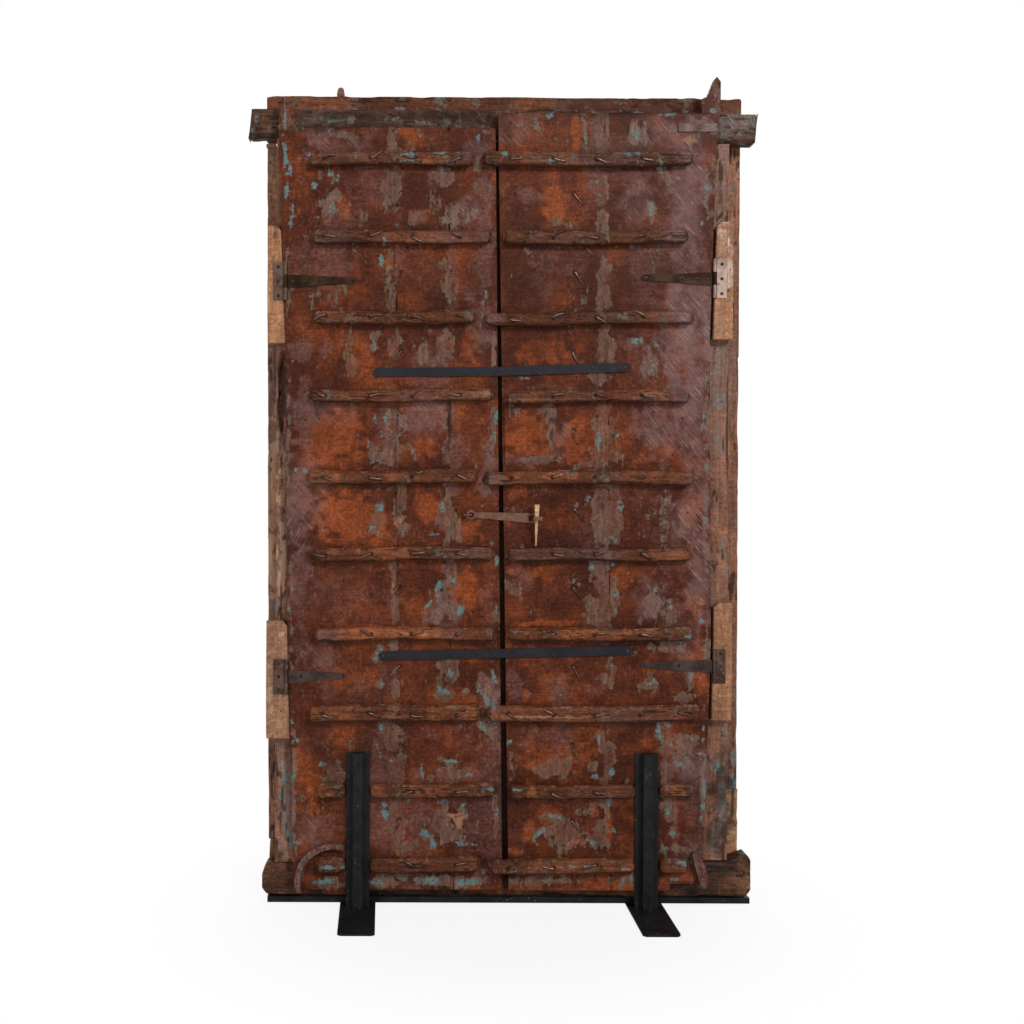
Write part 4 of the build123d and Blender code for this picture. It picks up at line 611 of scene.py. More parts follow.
        (520, 1090, 67, 72, 0, 90), (549, 924, 39, 139, 0, 90), (374, 1965, 50, 56, 0, 70),
        (442, 2160, 72, 44, 0, 70), (466, 1562, 56, 83, 0, 80), (435, 1340, 56, 83, 0, 60),
        (-219, 1362, 56, 56, 0, 70), (-565, 1137, 72, 139, 0, 60), (-511, 1388, 111, 44, 0, 30),
        (-112, 1933, 39, 39, 0, 80), (-78, 2114, 39, 28, 0, 60), (-57, 1614, 44, 72, 0, 60),
        (-32, 1225, 28, 83, 0, 50), (-506, 693, 56, 56, 0, 40), (-557, 220, 56, 56, 0, 40),
        (410, 867, 44, 56, 0, 60), (525, 395, 67, 67, 0, 70), (157, 1310, 33, 56, 0, 40),
        (385, 533, 111, 28, 0, 20), (523, 729, 56, 83, 0, 40), (-173, 834, 39, 44, 0, 80),
        (-32, 585, 33, 67, 0, 60), (39, 2171, 56, 44, 0, 40), (-461, 2111, 83, 33, 0, 40),
        (527, 159, 67, 39, 0, 40), (-479, 860, 167, 72, 0, 15), (659, 2198, 67, 39, 0, 50),
        (-658, 1304, 22, 111, 0, 30), (615, 1370, 22, 222, 0, 30),
    ],
}


patchEdge = {"tornSize": 0.02, "torn": 1.7, "bentSize": 0.045, "bent": 0.05}


def patchValues(points, kind, front):
    # each patch gives its strength inside an ellipse that is bent and torn by noise
    strengths = np.zeros(len(points))
    ragged = (layeredNoise(points, patchEdge["tornSize"], 3, 61) - 0.5) * patchEdge["torn"]
    bentX = (layeredNoise(points, patchEdge["bentSize"], 3, 63) - 0.5) * patchEdge["bent"]
    bentZ = (layeredNoise(points, patchEdge["bentSize"], 3, 65) - 0.5) * patchEdge["bent"]
    low, high = points.min(axis=0), points.max(axis=0)
    for patch in patches[kind]:
        x, z, halfWidth, halfHeight = np.array(patch[:4]) / 1000
        reachOut = 1.6 * max(halfWidth, halfHeight)
        aside = x < low[0] - reachOut or x > high[0] + reachOut
        if aside or z < low[2] - reachOut or z > high[2] + reachOut:
            continue
        near = np.where((np.abs(points[:, 0] - x) < reachOut) & (np.abs(points[:, 2] - z) < reachOut))[0]
        bend = min(1.0, 0.25 + 12 * min(halfWidth, halfHeight))
        dx = points[near, 0] + bend * bentX[near] - x
        dz = points[near, 2] + bend * bentZ[near] - z
        angle = -math.radians(patch[4])
        across = (dx * math.cos(angle) - dz * math.sin(angle)) / halfWidth
        up = (dz * math.cos(angle) + dx * math.sin(angle)) / halfHeight
        reach = np.sqrt(across ** 2 + up ** 2) + ragged[near]
        strengths[near] = np.maximum(strengths[near], patch[5] / 100 * rampUp(-reach, -1.35, -0.45))
    return strengths * front


def surfaceValues(points, skin, look, seed):
    # how bare, filmed, blue, purple, dirty or scratched each point is, and where shade is painted: edges,
    # noise and the patches
    front = points[:, 1] < (points[:, 1].min() + points[:, 1].max()) / 2
    edge = np.exp(-skin["toEdge"] / 0.009)
    cloud = layeredNoise(points, (0.16, 0.16, 0.3), 3, seed + 31)
    fleck = layeredNoise(points, 0.035, 3, seed + 41)
    flaked = look.get("flaked", 1.0)
    values = {
        "bare": np.clip(flaked * (0.45 * edge * rampUp(fleck, 0.4, 0.7) + 0.35 * skin["chips"] * edge), 0, 1),
        "film": 0.55 * look.get("filmed", 0.3) * rampUp(fleck, 0.5, 0.7),
        "teal": look.get("blueEdge", 0.5) * edge * rampUp(fleck, 0.58, 0.72),
        "plum": 0.8 * rampUp(cloud, 0.44, 0.68),
        "dirt_and_shade": 0.25 * rampUp(cloud, 0.6, 0.85),
        "glow": 0.3 * rampUp(layeredNoise(points, (0.12, 0.12, 0.12), 3, seed + 51), 0.5, 0.72),
        "hatch": np.zeros(len(points)),
    }
    for kind in values:
        values[kind] = np.maximum(values[kind], patchValues(points, kind, front))
    values["dirt_and_shade"] = np.maximum(values["dirt_and_shade"], 1.1 * skin["splits"] * (look.get("split", 0) > 0))
    # painted shade over the whole front of a piece that stands in shade
    values["dirt_and_shade"] = np.maximum(values["dirt_and_shade"], look.get("shadedFront", 0.0) * front)
    # level pieces get painted shade on their lower side, and their top is paler, partly rubbed wear and
    # partly a painted highlight
    values["dirt_and_shade"] = np.maximum(values["dirt_and_shade"], look.get("under", 0.0) * skin["lower"])
    rubbedAndLit = look.get("rubbedAndLit", 0.0) * skin["upper"] * rampUp(fleck, 0.3, 0.6)
    values["bare"] = np.maximum(values["bare"], rubbedAndLit)
    # a dark socket where each nail comes out, with painted shade around it
    window = 0.012
    for x, z in nailRoots:
        near = (np.abs(points[:, 0] - x) < window) & (np.abs(points[:, 2] - z) < window) & front
        reach = np.hypot(points[near, 0] - x, points[near, 2] - z)
        values["dirt_and_shade"][near] = np.maximum(values["dirt_and_shade"][near], 1.3 * rampUp(-reach, -0.009, -0.003))
    return values


def hewnPiece(node, along, look, material, seed):
    # one finished piece for a node: its solids are joined in one mesh
    allPoints, allFaces = [], []
    skins = {"toEdge": [], "chips": [], "splits": [], "lower": [], "upper": []}
    count = 0
    for index, span in enumerate(nodeSpans(node, along)):
        rings, skin = hewnRings(node, along, span, look, seed + 3 * index)
        points, quads, fans = closedGrid(rings)
        allPoints.append(points)
        allFaces += (quads + count).tolist() + (fans + count).tolist()
        for label, value in skin.items():
            skins[label].append(np.concatenate([value.reshape(-1), value[0, :1], value[-1, :1]]))
        count += len(points)
    points = np.concatenate(allPoints)
    skin = {label: np.concatenate(parts) for label, parts in skins.items()}
    values = surfaceValues(points, skin, look, seed)
    return addPiece("hewn_" + node, points, allFaces, material, "door", (node,), values)


# Shader helpers
def link(tree, source, target):
    tree.links.new(source, target)


def mathNode(tree, operation, first, second):
    node = tree.nodes.new("ShaderNodeMath")
    node.operation = operation
    for index, value in enumerate((first, second)):
        if isinstance(value, (int, float)):
            node.inputs[index].default_value = value
        else:
            link(tree, value, node.inputs[index])
    return node.outputs[0]


def stepNode(tree, value, start, end, low=0.0, high=1.0):
    # a smooth step from low to high as the value goes from start to end
    node = tree.nodes.new("ShaderNodeMapRange")
    node.interpolation_type = "SMOOTHSTEP"
    link(tree, value, node.inputs["Value"])
    node.inputs["From Min"].default_value = start
    node.inputs["From Max"].default_value = end
    node.inputs["To Min"].default_value = low
    node.inputs["To Max"].default_value = high
    return node.outputs["Result"]


def mixed(tree, factor, first, second, mode="MIX"):
    # a mix node has one set of sockets for each data type: the colour ones are picked by their place
    node = tree.nodes.new("ShaderNodeMix")
    node.data_type = "RGBA"
    node.blend_type = mode
    sockets = (node.inputs[0], node.inputs[6], node.inputs[7])
    for value, socket in zip((factor, first, second), sockets):
        if isinstance(value, (int, float)):
            socket.default_value = value
        elif isinstance(value, tuple):
            socket.default_value = value + (1.0,)
        else:
            link(tree, value, socket)
    return node.outputs[2]


def stretched(tree, coord, scale, turn=(0, 0, 0)):
    # in texture mode the coordinate is turned back first and then divided by the scale
    node = tree.nodes.new("ShaderNodeMapping")
    node.vector_type = "TEXTURE"
    link(tree, coord, node.inputs["Vector"])
    node.inputs["Scale"].default_value = scale
    node.inputs["Rotation"].default_value = turn
    return node.outputs["Vector"]


def noiseNode(tree, coord, scale, detail=4.0, roughness=0.55, twist=0.0):
    node = tree.nodes.new("ShaderNodeTexNoise")
    link(tree, coord, node.inputs["Vector"])
    node.inputs["Scale"].default_value = scale
    node.inputs["Detail"].default_value = detail
    node.inputs["Roughness"].default_value = roughness
    node.inputs["Distortion"].default_value = twist
    return node.outputs["Fac"]


def newGroup(name, inputs, outputs):
    tree = bpy.data.node_groups.new(name, "ShaderNodeTree")
    for label, kind, value in inputs:
        socket = tree.interface.new_socket(name=label, in_out="INPUT", socket_type=kind)
        if value is not None:
            socket.default_value = value
    for label, kind in outputs:
        tree.interface.new_socket(name=label, in_out="OUTPUT", socket_type=kind)
    return tree, tree.nodes.new("NodeGroupInput"), tree.nodes.new("NodeGroupOutput")


floatSocket = "NodeSocketFloat"
colourSocket = "NodeSocketColor"
vectorSocket = "NodeSocketVector"


def product(tree, first, second):
    return mathNode(tree, "MULTIPLY", first, second)


def total(tree, first, second):
    return mathNode(tree, "ADD", first, second)


def difference(tree, first, second):
    return mathNode(tree, "SUBTRACT", first, second)


def greater(tree, first, second):
    return mathNode(tree, "MAXIMUM", first, second)


def aboutMiddle(tree, value, gain):
    # a noise that runs about 0.5, brought to run about 0 and scaled
    return product(tree, difference(tree, value, 0.5), gain)


def makeGrainGroup():
    # long fibres, dark checks and a few worm holes; the coordinate already runs long along the grain
    tree, given, result = newGroup(
        "wood_grain",
        [("Coord", vectorSocket, None), ("Along", vectorSocket, None)],
        [("Fibre", floatSocket), ("Check", floatSocket), ("Hole", floatSocket)],
    )
    long = given.outputs["Along"]
    fibre = noiseNode(tree, long, 150, 5, 0.65, 0.3)
    broad = noiseNode(tree, long, 34, 3, 0.5, 0.8)
    link(tree, total(tree, product(tree, fibre, 0.6), product(tree, broad, 0.4)), result.inputs["Fibre"])
    check = noiseNode(tree, long, 48, 4, 0.6, 0.3)
    link(tree, stepNode(tree, check, 0.69, 0.76), result.inputs["Check"])
    hole = tree.nodes.new("ShaderNodeTexVoronoi")
    link(tree, given.outputs["Coord"], hole.inputs["Vector"])
    hole.inputs["Scale"].default_value = 26
    link(tree, stepNode(tree, hole.outputs["Distance"], 0.045, 0.075, 1.0, 0.0), result.inputs["Hole"])
    return tree


def makePaintGroup():
    # layers of old paint: oxide red over blue over a pale ground, worn through to wood, with dirt, painted
    # shade, painted sheen and scratches on top
    tree, given, result = newGroup(
        "old_paint",
        [
            ("Coord", vectorSocket, None), ("Fibre", floatSocket, 0.5), ("Check", floatSocket, 0.0),
            ("Hole", floatSocket, 0.0), ("Bare", floatSocket, 0.0), ("Film", floatSocket, 0.0),
            ("Teal", floatSocket, 0.0), ("Plum", floatSocket, 0.0), ("Dirt_and_shade", floatSocket, 0.0),
            ("Glow", floatSocket, 0.0), ("Hatch", floatSocket, 0.0), ("Fibrous", floatSocket, 1.0),
            ("Red", colourSocket, None), ("Orange", colourSocket, None), ("Purple", colourSocket, None),
            ("Timber", colourSocket, None), ("Veil", colourSocket, None), ("Blue", colourSocket, None),
        ],
        [
            ("Color", colourSocket), ("Height", floatSocket),
            ("Roughness", floatSocket), ("Shine", floatSocket),
        ],
    )
    coord = given.outputs["Coord"]
    cloud = noiseNode(tree, coord, 4.2, 4, 0.6, 0.3)
    middle = noiseNode(tree, coord, 17, 5, 0.62, 0.5)
    blotch = noiseNode(tree, coord, 34, 6, 0.66, 0.9)
    fine = noiseNode(tree, coord, 110, 6, 0.72)
    brush = noiseNode(tree, stretched(tree, coord, (11, 1, 1)), 210, 3, 0.6)
    fibre = given.outputs["Fibre"]
    # body of the paint
    warmth = total(tree, product(tree, middle, 0.45), product(tree, cloud, 0.55))
    warmth = total(tree, warmth, product(tree, given.outputs["Glow"], 0.3))
    colour = mixed(tree, stepNode(tree, warmth, 0.44, 0.84), given.outputs["Red"], given.outputs["Orange"])
    plumAmount = total(tree, product(tree, given.outputs["Plum"], 0.5), product(tree, blotch, 0.5))
    plum = product(tree, stepNode(tree, plumAmount, 0.42, 0.74), 0.8)
    colour = mixed(tree, plum, colour, given.outputs["Purple"])
    darker = stepNode(tree, cloud, 0.3, 0.7, 0.8, 1.15)
    brushed = stepNode(tree, brush, 0.3, 0.7, 0.84, 1.16)
    shade = product(tree, stepNode(tree, fine, 0.3, 0.7, 0.66, 1.36), brushed)
    fibreGain = product(tree, aboutMiddle(tree, fibre, 3.0), given.outputs["Fibrous"])
    shade = product(tree, product(tree, shade, darker), total(tree, fibreGain, 1.0))
    shade = product(tree, shade, stepNode(tree, blotch, 0.3, 0.72, 0.84, 1.16))
    colour = mixed(tree, 1.0, colour, shadeColour(tree, shade), "MULTIPLY")
    # the veil is an old ground coat in torn streaks with a grey-green rim
    ragged = total(tree, product(tree, fine, 0.45), product(tree, blotch, 0.55))
    streaky = noiseNode(tree, stretched(tree, coord, (1, 1, 4)), 60, 5, 0.7, 0.6)
    torn = total(tree, product(tree, ragged, 0.55), product(tree, streaky, 0.45))
    veilAmount = total(tree, given.outputs["Film"], aboutMiddle(tree, torn, 3.8))
    rimUp = stepNode(tree, veilAmount, 0.38, 0.62)
    rimDown = stepNode(tree, veilAmount, 0.6, 0.9, 1.0, 0.0)
    veil = mixed(tree, stepNode(tree, middle, 0.42, 0.6), given.outputs["Veil"], given.outputs["Purple"])
    worn = total(tree, product(tree, fibre, 0.5), product(tree, blotch, 0.5))
    veil = mixed(tree, stepNode(tree, worn, 0.54, 0.7), veil, given.outputs["Timber"])
    veil = mixed(tree, stepNode(tree, worn, 0.49, 0.38), veil, given.outputs["Orange"])
    fibrousShade = stepNode(tree, fibre, 0.36, 0.64, 0.8, 1.2)
    veilShade = product(tree, stepNode(tree, fine, 0.3, 0.7, 0.66, 1.36), fibrousShade)
    veil = mixed(tree, 1.0, veil, shadeColour(tree, veilShade), "MULTIPLY")
    thin = stepNode(tree, streaky, 0.36, 0.6, 0.24, 0.86)
    colour = mixed(tree, product(tree, rimUp, thin), colour, veil)
    rim = product(tree, product(tree, product(tree, rimUp, rimDown), thin), 0.5)
    colour = mixed(tree, rim, colour, (0.105, 0.112, 0.085))
    # bare wood and blue remnants
    bareAmount = total(tree, given.outputs["Bare"], aboutMiddle(tree, ragged, 1.6))
    bare = stepNode(tree, bareAmount, 0.42, 0.6)
    timberShade = shadeColour(tree, stepNode(tree, fibre, 0.3, 0.7, 0.6, 1.35))
    timber = mixed(tree, 1.0, given.outputs["Timber"], timberShade, "MULTIPLY")
    colour = mixed(tree, product(tree, bare, 0.8), colour, timber)
    flecked = total(tree, product(tree, fine, 0.6), product(tree, streaky, 0.4))
    tealAmount = total(tree, given.outputs["Teal"], aboutMiddle(tree, flecked, 4.4))
    halo = stepNode(tree, tealAmount, 0.3, 0.6)
    colour = mixed(tree, product(tree, halo, 0.42), colour, (0.115, 0.105, 0.08))
    teal = stepNode(tree, tealAmount, 0.58, 0.82)
    blue = mixed(tree, stepNode(tree, fine, 0.4, 0.7), given.outputs["Blue"], (0.15, 0.19, 0.185))
    colour = mixed(tree, product(tree, teal, 0.88), colour, blue)
    # scratched places are paler, partly chalky wear and partly painted sheen, with scratches in two
    # directions, broken up by noise
    rising = noiseNode(tree, stretched(tree, coord, (1, 1, 18), (0, math.radians(33), 0)), 380, 2, 0.5)
    falling = noiseNode(tree, stretched(tree, coord, (1, 1, 18), (0, math.radians(-41), 0)), 380, 2, 0.5)
    direction = stepNode(tree, cloud, 0.4, 0.46)
    fallingShare = product(tree, falling, direction)
    streak = total(tree, fallingShare, product(tree, rising, difference(tree, 1.0, direction)))
    chalkAndSheen = product(tree, given.outputs["Hatch"], stepNode(tree, middle, 0.35, 0.65, 0.12, 0.44))
    colour = mixed(tree, chalkAndSheen, colour, (0.23, 0.142, 0.138))
    scratch = product(tree, stepNode(tree, streak, 0.54, 0.66), given.outputs["Hatch"])
    scratch = product(tree, scratch, stepNode(tree, blotch, 0.34, 0.52))
    colour = mixed(tree, product(tree, scratch, 0.55), colour, (0.29, 0.18, 0.165))
    # dirt and painted shade, checks and holes
    dirtAndShade = total(tree, given.outputs["Dirt_and_shade"], aboutMiddle(tree, middle, 1.1))
    dark = product(tree, stepNode(tree, dirtAndShade, 0.25, 0.85), 0.72)
    colour = mixed(tree, dark, colour, (0.016, 0.009, 0.006))
    checks = product(tree, given.outputs["Check"], given.outputs["Fibrous"])
    gap = greater(tree, product(tree, checks, 0.6), product(tree, given.outputs["Hole"], 0.8))
    colour = mixed(tree, gap, colour, (0.012, 0.007, 0.005))
    link(tree, colour, result.inputs["Color"])
    grooves = product(tree, fibre, given.outputs["Fibrous"])
    height = total(tree, product(tree, grooves, 0.4), product(tree, fine, 0.3))
    height = total(tree, height, product(tree, blotch, 0.5))
    height = total(tree, height, product(tree, brush, 0.12))
    height = difference(tree, height, product(tree, bare, 0.3))
    height = difference(tree, height, product(tree, gap, 1.3))
    height = total(tree, height, product(tree, rimUp, 0.25))
    height = total(tree, height, product(tree, scratch, 0.5))
    link(tree, height, result.inputs["Height"])
    rough = total(tree, stepNode(tree, fine, 0.3, 0.7, 0.3, 0.46), product(tree, bare, 0.2))
    link(tree, total(tree, rough, product(tree, dark, 0.15)), result.inputs["Roughness"])
    # waxed ridges and scratches shine more than the matt paint between them
    wax = product(tree, stepNode(tree, fine, 0.56, 0.72), stepNode(tree, cloud, 0.4, 0.6))
    shine = total(tree, product(tree, wax, 0.22), product(tree, scratch, 0.4))
    link(tree, total(tree, shine, 0.06), result.inputs["Shine"])
    return tree


def shadeColour(tree, value):
    # a grey to multiply a colour by
    node = tree.nodes.new("ShaderNodeCombineColor")
    for index in range(3):
        link(tree, value, node.inputs[index])
    return node.outputs["Color"]


def makeMetalGroup():
    # worn metal: two tones in clouds, rust in patches, dust specks and a fine tooth
    tree, given, result = newGroup(
        "worn_metal",
        [
            ("Coord", vectorSocket, None), ("Tone", colourSocket, None), ("Second", colourSocket, None),
            ("Rust", floatSocket, 0.3), ("Dust", floatSocket, 0.2), ("Gloss", floatSocket, 0.4),
        ],
        [
            ("Color", colourSocket), ("Height", floatSocket),
            ("Roughness", floatSocket), ("Metal", floatSocket),
        ],
    )
    coord = given.outputs["Coord"]
    cloud = noiseNode(tree, coord, 22, 5, 0.65, 0.4)
    fine = noiseNode(tree, coord, 240, 4, 0.6)
    colour = mixed(tree, stepNode(tree, cloud, 0.36, 0.64), given.outputs["Tone"], given.outputs["Second"])
    rustGain = aboutMiddle(tree, given.outputs["Rust"], 0.5)
    rustNoise = total(tree, noiseNode(tree, coord, 60, 6, 0.7), rustGain)
    rust = stepNode(tree, rustNoise, 0.5, 0.62)
    rustColour = mixed(tree, fine, (0.09, 0.032, 0.014), (0.24, 0.1, 0.045))
    colour = mixed(tree, product(tree, rust, 0.85), colour, rustColour)
    speck = tree.nodes.new("ShaderNodeTexVoronoi")
    link(tree, coord, speck.inputs["Vector"])
    speck.inputs["Scale"].default_value = 95
    dot = stepNode(tree, speck.outputs["Distance"], 0.1, 0.2, 1.0, 0.0)
    dusty = stepNode(tree, noiseNode(tree, coord, 14, 2, 0.5), 0.42, 0.7)
    dust = product(tree, product(tree, dot, dusty), given.outputs["Dust"])
    colour = mixed(tree, dust, colour, (0.33, 0.27, 0.22))
    link(tree, colour, result.inputs["Color"])
    link(tree, total(tree, product(tree, fine, 0.5), product(tree, rust, 0.6)), result.inputs["Height"])
    rough = total(tree, given.outputs["Gloss"], product(tree, rust, 0.3))
    rough = total(tree, rough, aboutMiddle(tree, fine, 0.2))
    link(tree, total(tree, rough, product(tree, dust, 0.3)), result.inputs["Roughness"])
    covered = greater(tree, product(tree, rust, 0.8), dust)
    link(tree, difference(tree, 1.0, covered), result.inputs["Metal"])
    return tree


grainGroup = makeGrainGroup()
paintGroup = makePaintGroup()
metalGroup = makeMetalGroup()


def startMaterial(name):
    material = bpy.data.materials.new(name)
    material.use_nodes = True
    tree = material.node_tree
    shader = tree.nodes["Principled BSDF"]
    coord = tree.nodes.new("ShaderNodeTexCoord").outputs["Object"]
    return material, tree, shader, coord


def addBump(tree, shader, height, distance):
    bump = tree.nodes.new("ShaderNodeBump")
    bump.inputs["Distance"].default_value = distance
    link(tree, height, bump.inputs["Height"])
    link(tree, bump.outputs["Normal"], shader.inputs["Normal"])


def groupNode(tree, group):
    # one of the shared groups, placed in a material
    node = tree.nodes.new("ShaderNodeGroup")
    node.node_tree = group
    return node


def pointValue(tree, label):
    # a layer's number at each point of the mesh
    node = tree.nodes.new("ShaderNodeAttribute")
    node.attribute_name = label
    return node.outputs["Fac"]


grainStretch = 14.0


def woodMaterial(name, along, colours, fibrous=1.0, bumpDepth=0.0022):
    # painted wood with its grain along one axis
    material, tree, shader, coord = startMaterial(name)
    scale = [1.0, 1.0, 1.0]
    scale[along] = grainStretch
    grain = groupNode(tree, grainGroup)
    link(tree, coord, grain.inputs["Coord"])
    link(tree, stretched(tree, coord, tuple(scale)), grain.inputs["Along"])
    paint = groupNode(tree, paintGroup)
    link(tree, coord, paint.inputs["Coord"])
    for label in ("Fibre", "Check", "Hole"):
        link(tree, grain.outputs[label], paint.inputs[label])
    for label in ("Bare", "Film", "Teal", "Plum", "Dirt_and_shade", "Glow", "Hatch"):
        link(tree, pointValue(tree, label.lower()), paint.inputs[label])
    for label, value in colours.items():
        paint.inputs[label].default_value = value + (1.0,)
    link(tree, paint.outputs["Color"], shader.inputs["Base Color"])
    link(tree, paint.outputs["Roughness"], shader.inputs["Roughness"])
    paint.inputs["Fibrous"].default_value = fibrous
    link(tree, paint.outputs["Shine"], shader.inputs["Specular IOR Level"])
    addBump(tree, shader, paint.outputs["Height"], bumpDepth)
    return material


def metalMaterial(name, finish):
    material, tree, shader, coord = startMaterial(name)
    metal = groupNode(tree, metalGroup)
    link(tree, coord, metal.inputs["Coord"])
    metal.inputs["Tone"].default_value = finish["tone"] + (1.0,)
    metal.inputs["Second"].default_value = finish["second"] + (1.0,)
    metal.inputs["Rust"].default_value = finish["rust"]
    metal.inputs["Dust"].default_value = finish["dust"]
    metal.inputs["Gloss"].default_value = finish["gloss"]
    link(tree, metal.outputs["Color"], shader.inputs["Base Color"])
    link(tree, metal.outputs["Roughness"], shader.inputs["Roughness"])
    # painted steel has its own shine and isn't metallic
    shader.inputs["Specular IOR Level"].default_value = finish.get("shine", 0.5)
    if "shine" not in finish:
        link(tree, metal.outputs["Metal"], shader.inputs["Metallic"])
    addBump(tree, shader, metal.outputs["Height"], finish.get("bump", 0.0004))
    return material


# Colours are linear
paintColours = {
    "Red": (0.060, 0.0155, 0.0078),
    "Orange": (0.195, 0.046, 0.014),
    "Purple": (0.120, 0.050, 0.040),
    "Timber": (0.28, 0.13, 0.075),
    "Veil": (0.150, 0.088, 0.060),
    "Blue": (0.07, 0.165, 0.175),
}
frameColours = {
    "Red": (0.20, 0.092, 0.058),
    "Orange": (0.30, 0.13, 0.068),
    "Purple": (0.18, 0.095, 0.078),
    "Timber": (0.40, 0.23, 0.14),
    "Veil": (0.185, 0.150, 0.140),
    "Blue": (0.10, 0.18, 0.19),
}
beamColours = {
    "Red": (0.062, 0.030, 0.019),
    "Orange": (0.11, 0.052, 0.031),
    "Purple": (0.085, 0.050, 0.042),
    "Timber": (0.22, 0.14, 0.10),
    "Veil": (0.16, 0.13, 0.12),
    "Blue": (0.09, 0.17, 0.18),
}
battenColours = {
    "Red": (0.085, 0.028, 0.014),
    "Orange": (0.225, 0.072, 0.028),
    "Purple": (0.110, 0.050, 0.038),
    "Timber": (0.24, 0.125, 0.072),
    "Veil": (0.115, 0.072, 0.048),
    "Blue": (0.075, 0.165, 0.175),
}
rawColours = {
    "Red": (0.285, 0.135, 0.070),
    "Orange": (0.35, 0.175, 0.092),
    "Purple": (0.26, 0.14, 0.088),
    "Timber": (0.40, 0.235, 0.14),
    "Veil": (0.52, 0.38, 0.30),
    "Blue": (0.26, 0.19, 0.14),
}
sillColours = {
    "Red": (0.050, 0.021, 0.011),
    "Orange": (0.135, 0.062, 0.034),
    "Purple": (0.050, 0.028, 0.021),
    "Timber": (0.12, 0.066, 0.038),
    "Veil": (0.09, 0.060, 0.042),
    "Blue": (0.09, 0.075, 0.055),
}
pegColours = {
    "Red": (0.50, 0.30, 0.17),
    "Orange": (0.60, 0.38, 0.22),
    "Purple": (0.46, 0.27, 0.16),
    "Timber": (0.62, 0.42, 0.26),
    "Veil": (0.5, 0.33, 0.2),
    "Blue": (0.45, 0.33, 0.2),
}

uprightPaint = woodMaterial("painted_planks", 2, paintColours, 0.28)
levelPaint = woodMaterial("painted_battens", 0, battenColours, 0.9, 0.003)
uprightFrame = woodMaterial("frame_posts", 2, frameColours, 1.0)
levelFrame = woodMaterial("frame_beams", 0, beamColours, 1.0)
rawTimber = woodMaterial("raw_blocks", 2, rawColours, 0.7, 0.0018)
sillTimber = woodMaterial("old_sill", 0, sillColours, 1.2, 0.004)
pegTimber = woodMaterial("peg_wood", 2, pegColours, 0.5, 0.001)
metalFinishes = {
    "black_steel": {
        "tone": (0.004, 0.004, 0.0042), "second": (0.011, 0.011, 0.012),
        "rust": 0.06, "dust": 0.5, "gloss": 0.42, "bump": 0.0004, "shine": 0.16,
    },
    "strap_steel": {
        "tone": (0.014, 0.014, 0.0175), "second": (0.02, 0.019, 0.023),
        "rust": 0.04, "dust": 0.3, "gloss": 0.42, "bump": 0.0003, "shine": 0.1,
    },
    "forged_iron": {
        "tone": (0.085, 0.042, 0.03), "second": (0.13, 0.07, 0.052),
        "rust": 0.5, "dust": 0.1, "gloss": 0.45,
    },
    "band_iron": {
        "tone": (0.05, 0.032, 0.028), "second": (0.11, 0.08, 0.074),
        "rust": 0.4, "dust": 0.1, "gloss": 0.55,
    },
    "nail_iron": {
        "tone": (0.05, 0.024, 0.017), "second": (0.15, 0.10, 0.085),
        "rust": 0.4, "dust": 0.0, "gloss": 0.34,
    },
    "hinge_steel": {
        "tone": (0.25, 0.18, 0.155), "second": (0.14, 0.10, 0.08),
        "rust": 0.34, "dust": 0.1, "gloss": 0.5,
    },
    "rusty_hinge": {
        "tone": (0.045, 0.026, 0.019), "second": (0.09, 0.058, 0.046),
        "rust": 0.42, "dust": 0.1, "gloss": 0.5,
    },
    "screw_steel": {
        "tone": (0.045, 0.032, 0.026), "second": (0.02, 0.014, 0.012),
        "rust": 0.2, "dust": 0.0, "gloss": 0.4,
    },
    "dull_iron": {
        "tone": (0.036, 0.022, 0.020), "second": (0.062, 0.044, 0.040),
        "rust": 0.24, "dust": 0.1, "gloss": 0.55,
    },
    "strap_iron": {
        "tone": (0.016, 0.009, 0.0055), "second": (0.034, 0.02, 0.0125),
        "rust": 0.24, "dust": 0.1, "gloss": 0.5,
    },
    "aged_brass": {
        "tone": (0.62, 0.40, 0.14), "second": (0.36, 0.22, 0.08),
        "rust": 0.12, "dust": 0.0, "gloss": 0.3,
    },
}
metals = {name: metalMaterial(name, finish) for name, finish in metalFinishes.items()}
report("materials")

# Timber: planks and posts run along Z, battens and beams along X
plankLook = {
    "step": 0.0056, "radius": 0.0016, "wave": 0.0024, "rough": 0.0007, "chip": 0.002, "waveSize": 0.06,
    "sideShare": 0.0, "sideGrow": 0.0014, "flaked": 0.5, "filmed": 0.5, "blueEdge": 0.42,
}
planks = ["left_stile", "left_plank_middle", "left_plank_inner", "right_stile", "right_plank_inner"]
for index, node in enumerate(planks):
    hewnPiece(node, 2, plankLook, uprightPaint, 100 + 20 * index)
# the battens get painted shade on their lower side and a paler top, partly wear and partly a painted
# highlight
battenLook = {
    "step": 0.0042, "radius": 0.0135, "wave": 0.006, "rough": 0.0014, "chip": 0.007, "waveSize": 0.03,
    "endRound": 0.016, "backShare": 2, "split": 0.0035, "splitSize": 0.016, "filmed": 0.8, "blueEdge": 0.4,
    "under": 0.72, "rubbedAndLit": 0.5,
}
for row in range(1, 11):
    hewnPiece(f"batten_row_{row:02d}", 0, battenLook, levelPaint, 300 + 20 * row)
postLook = {
    "step": 0.0065, "radius": 0.006, "wave": 0.003, "rough": 0.001, "chip": 0.007, "waveSize": 0.05,
    "split": 0.003, "splitSize": 0.03, "filmed": 0.8,
}
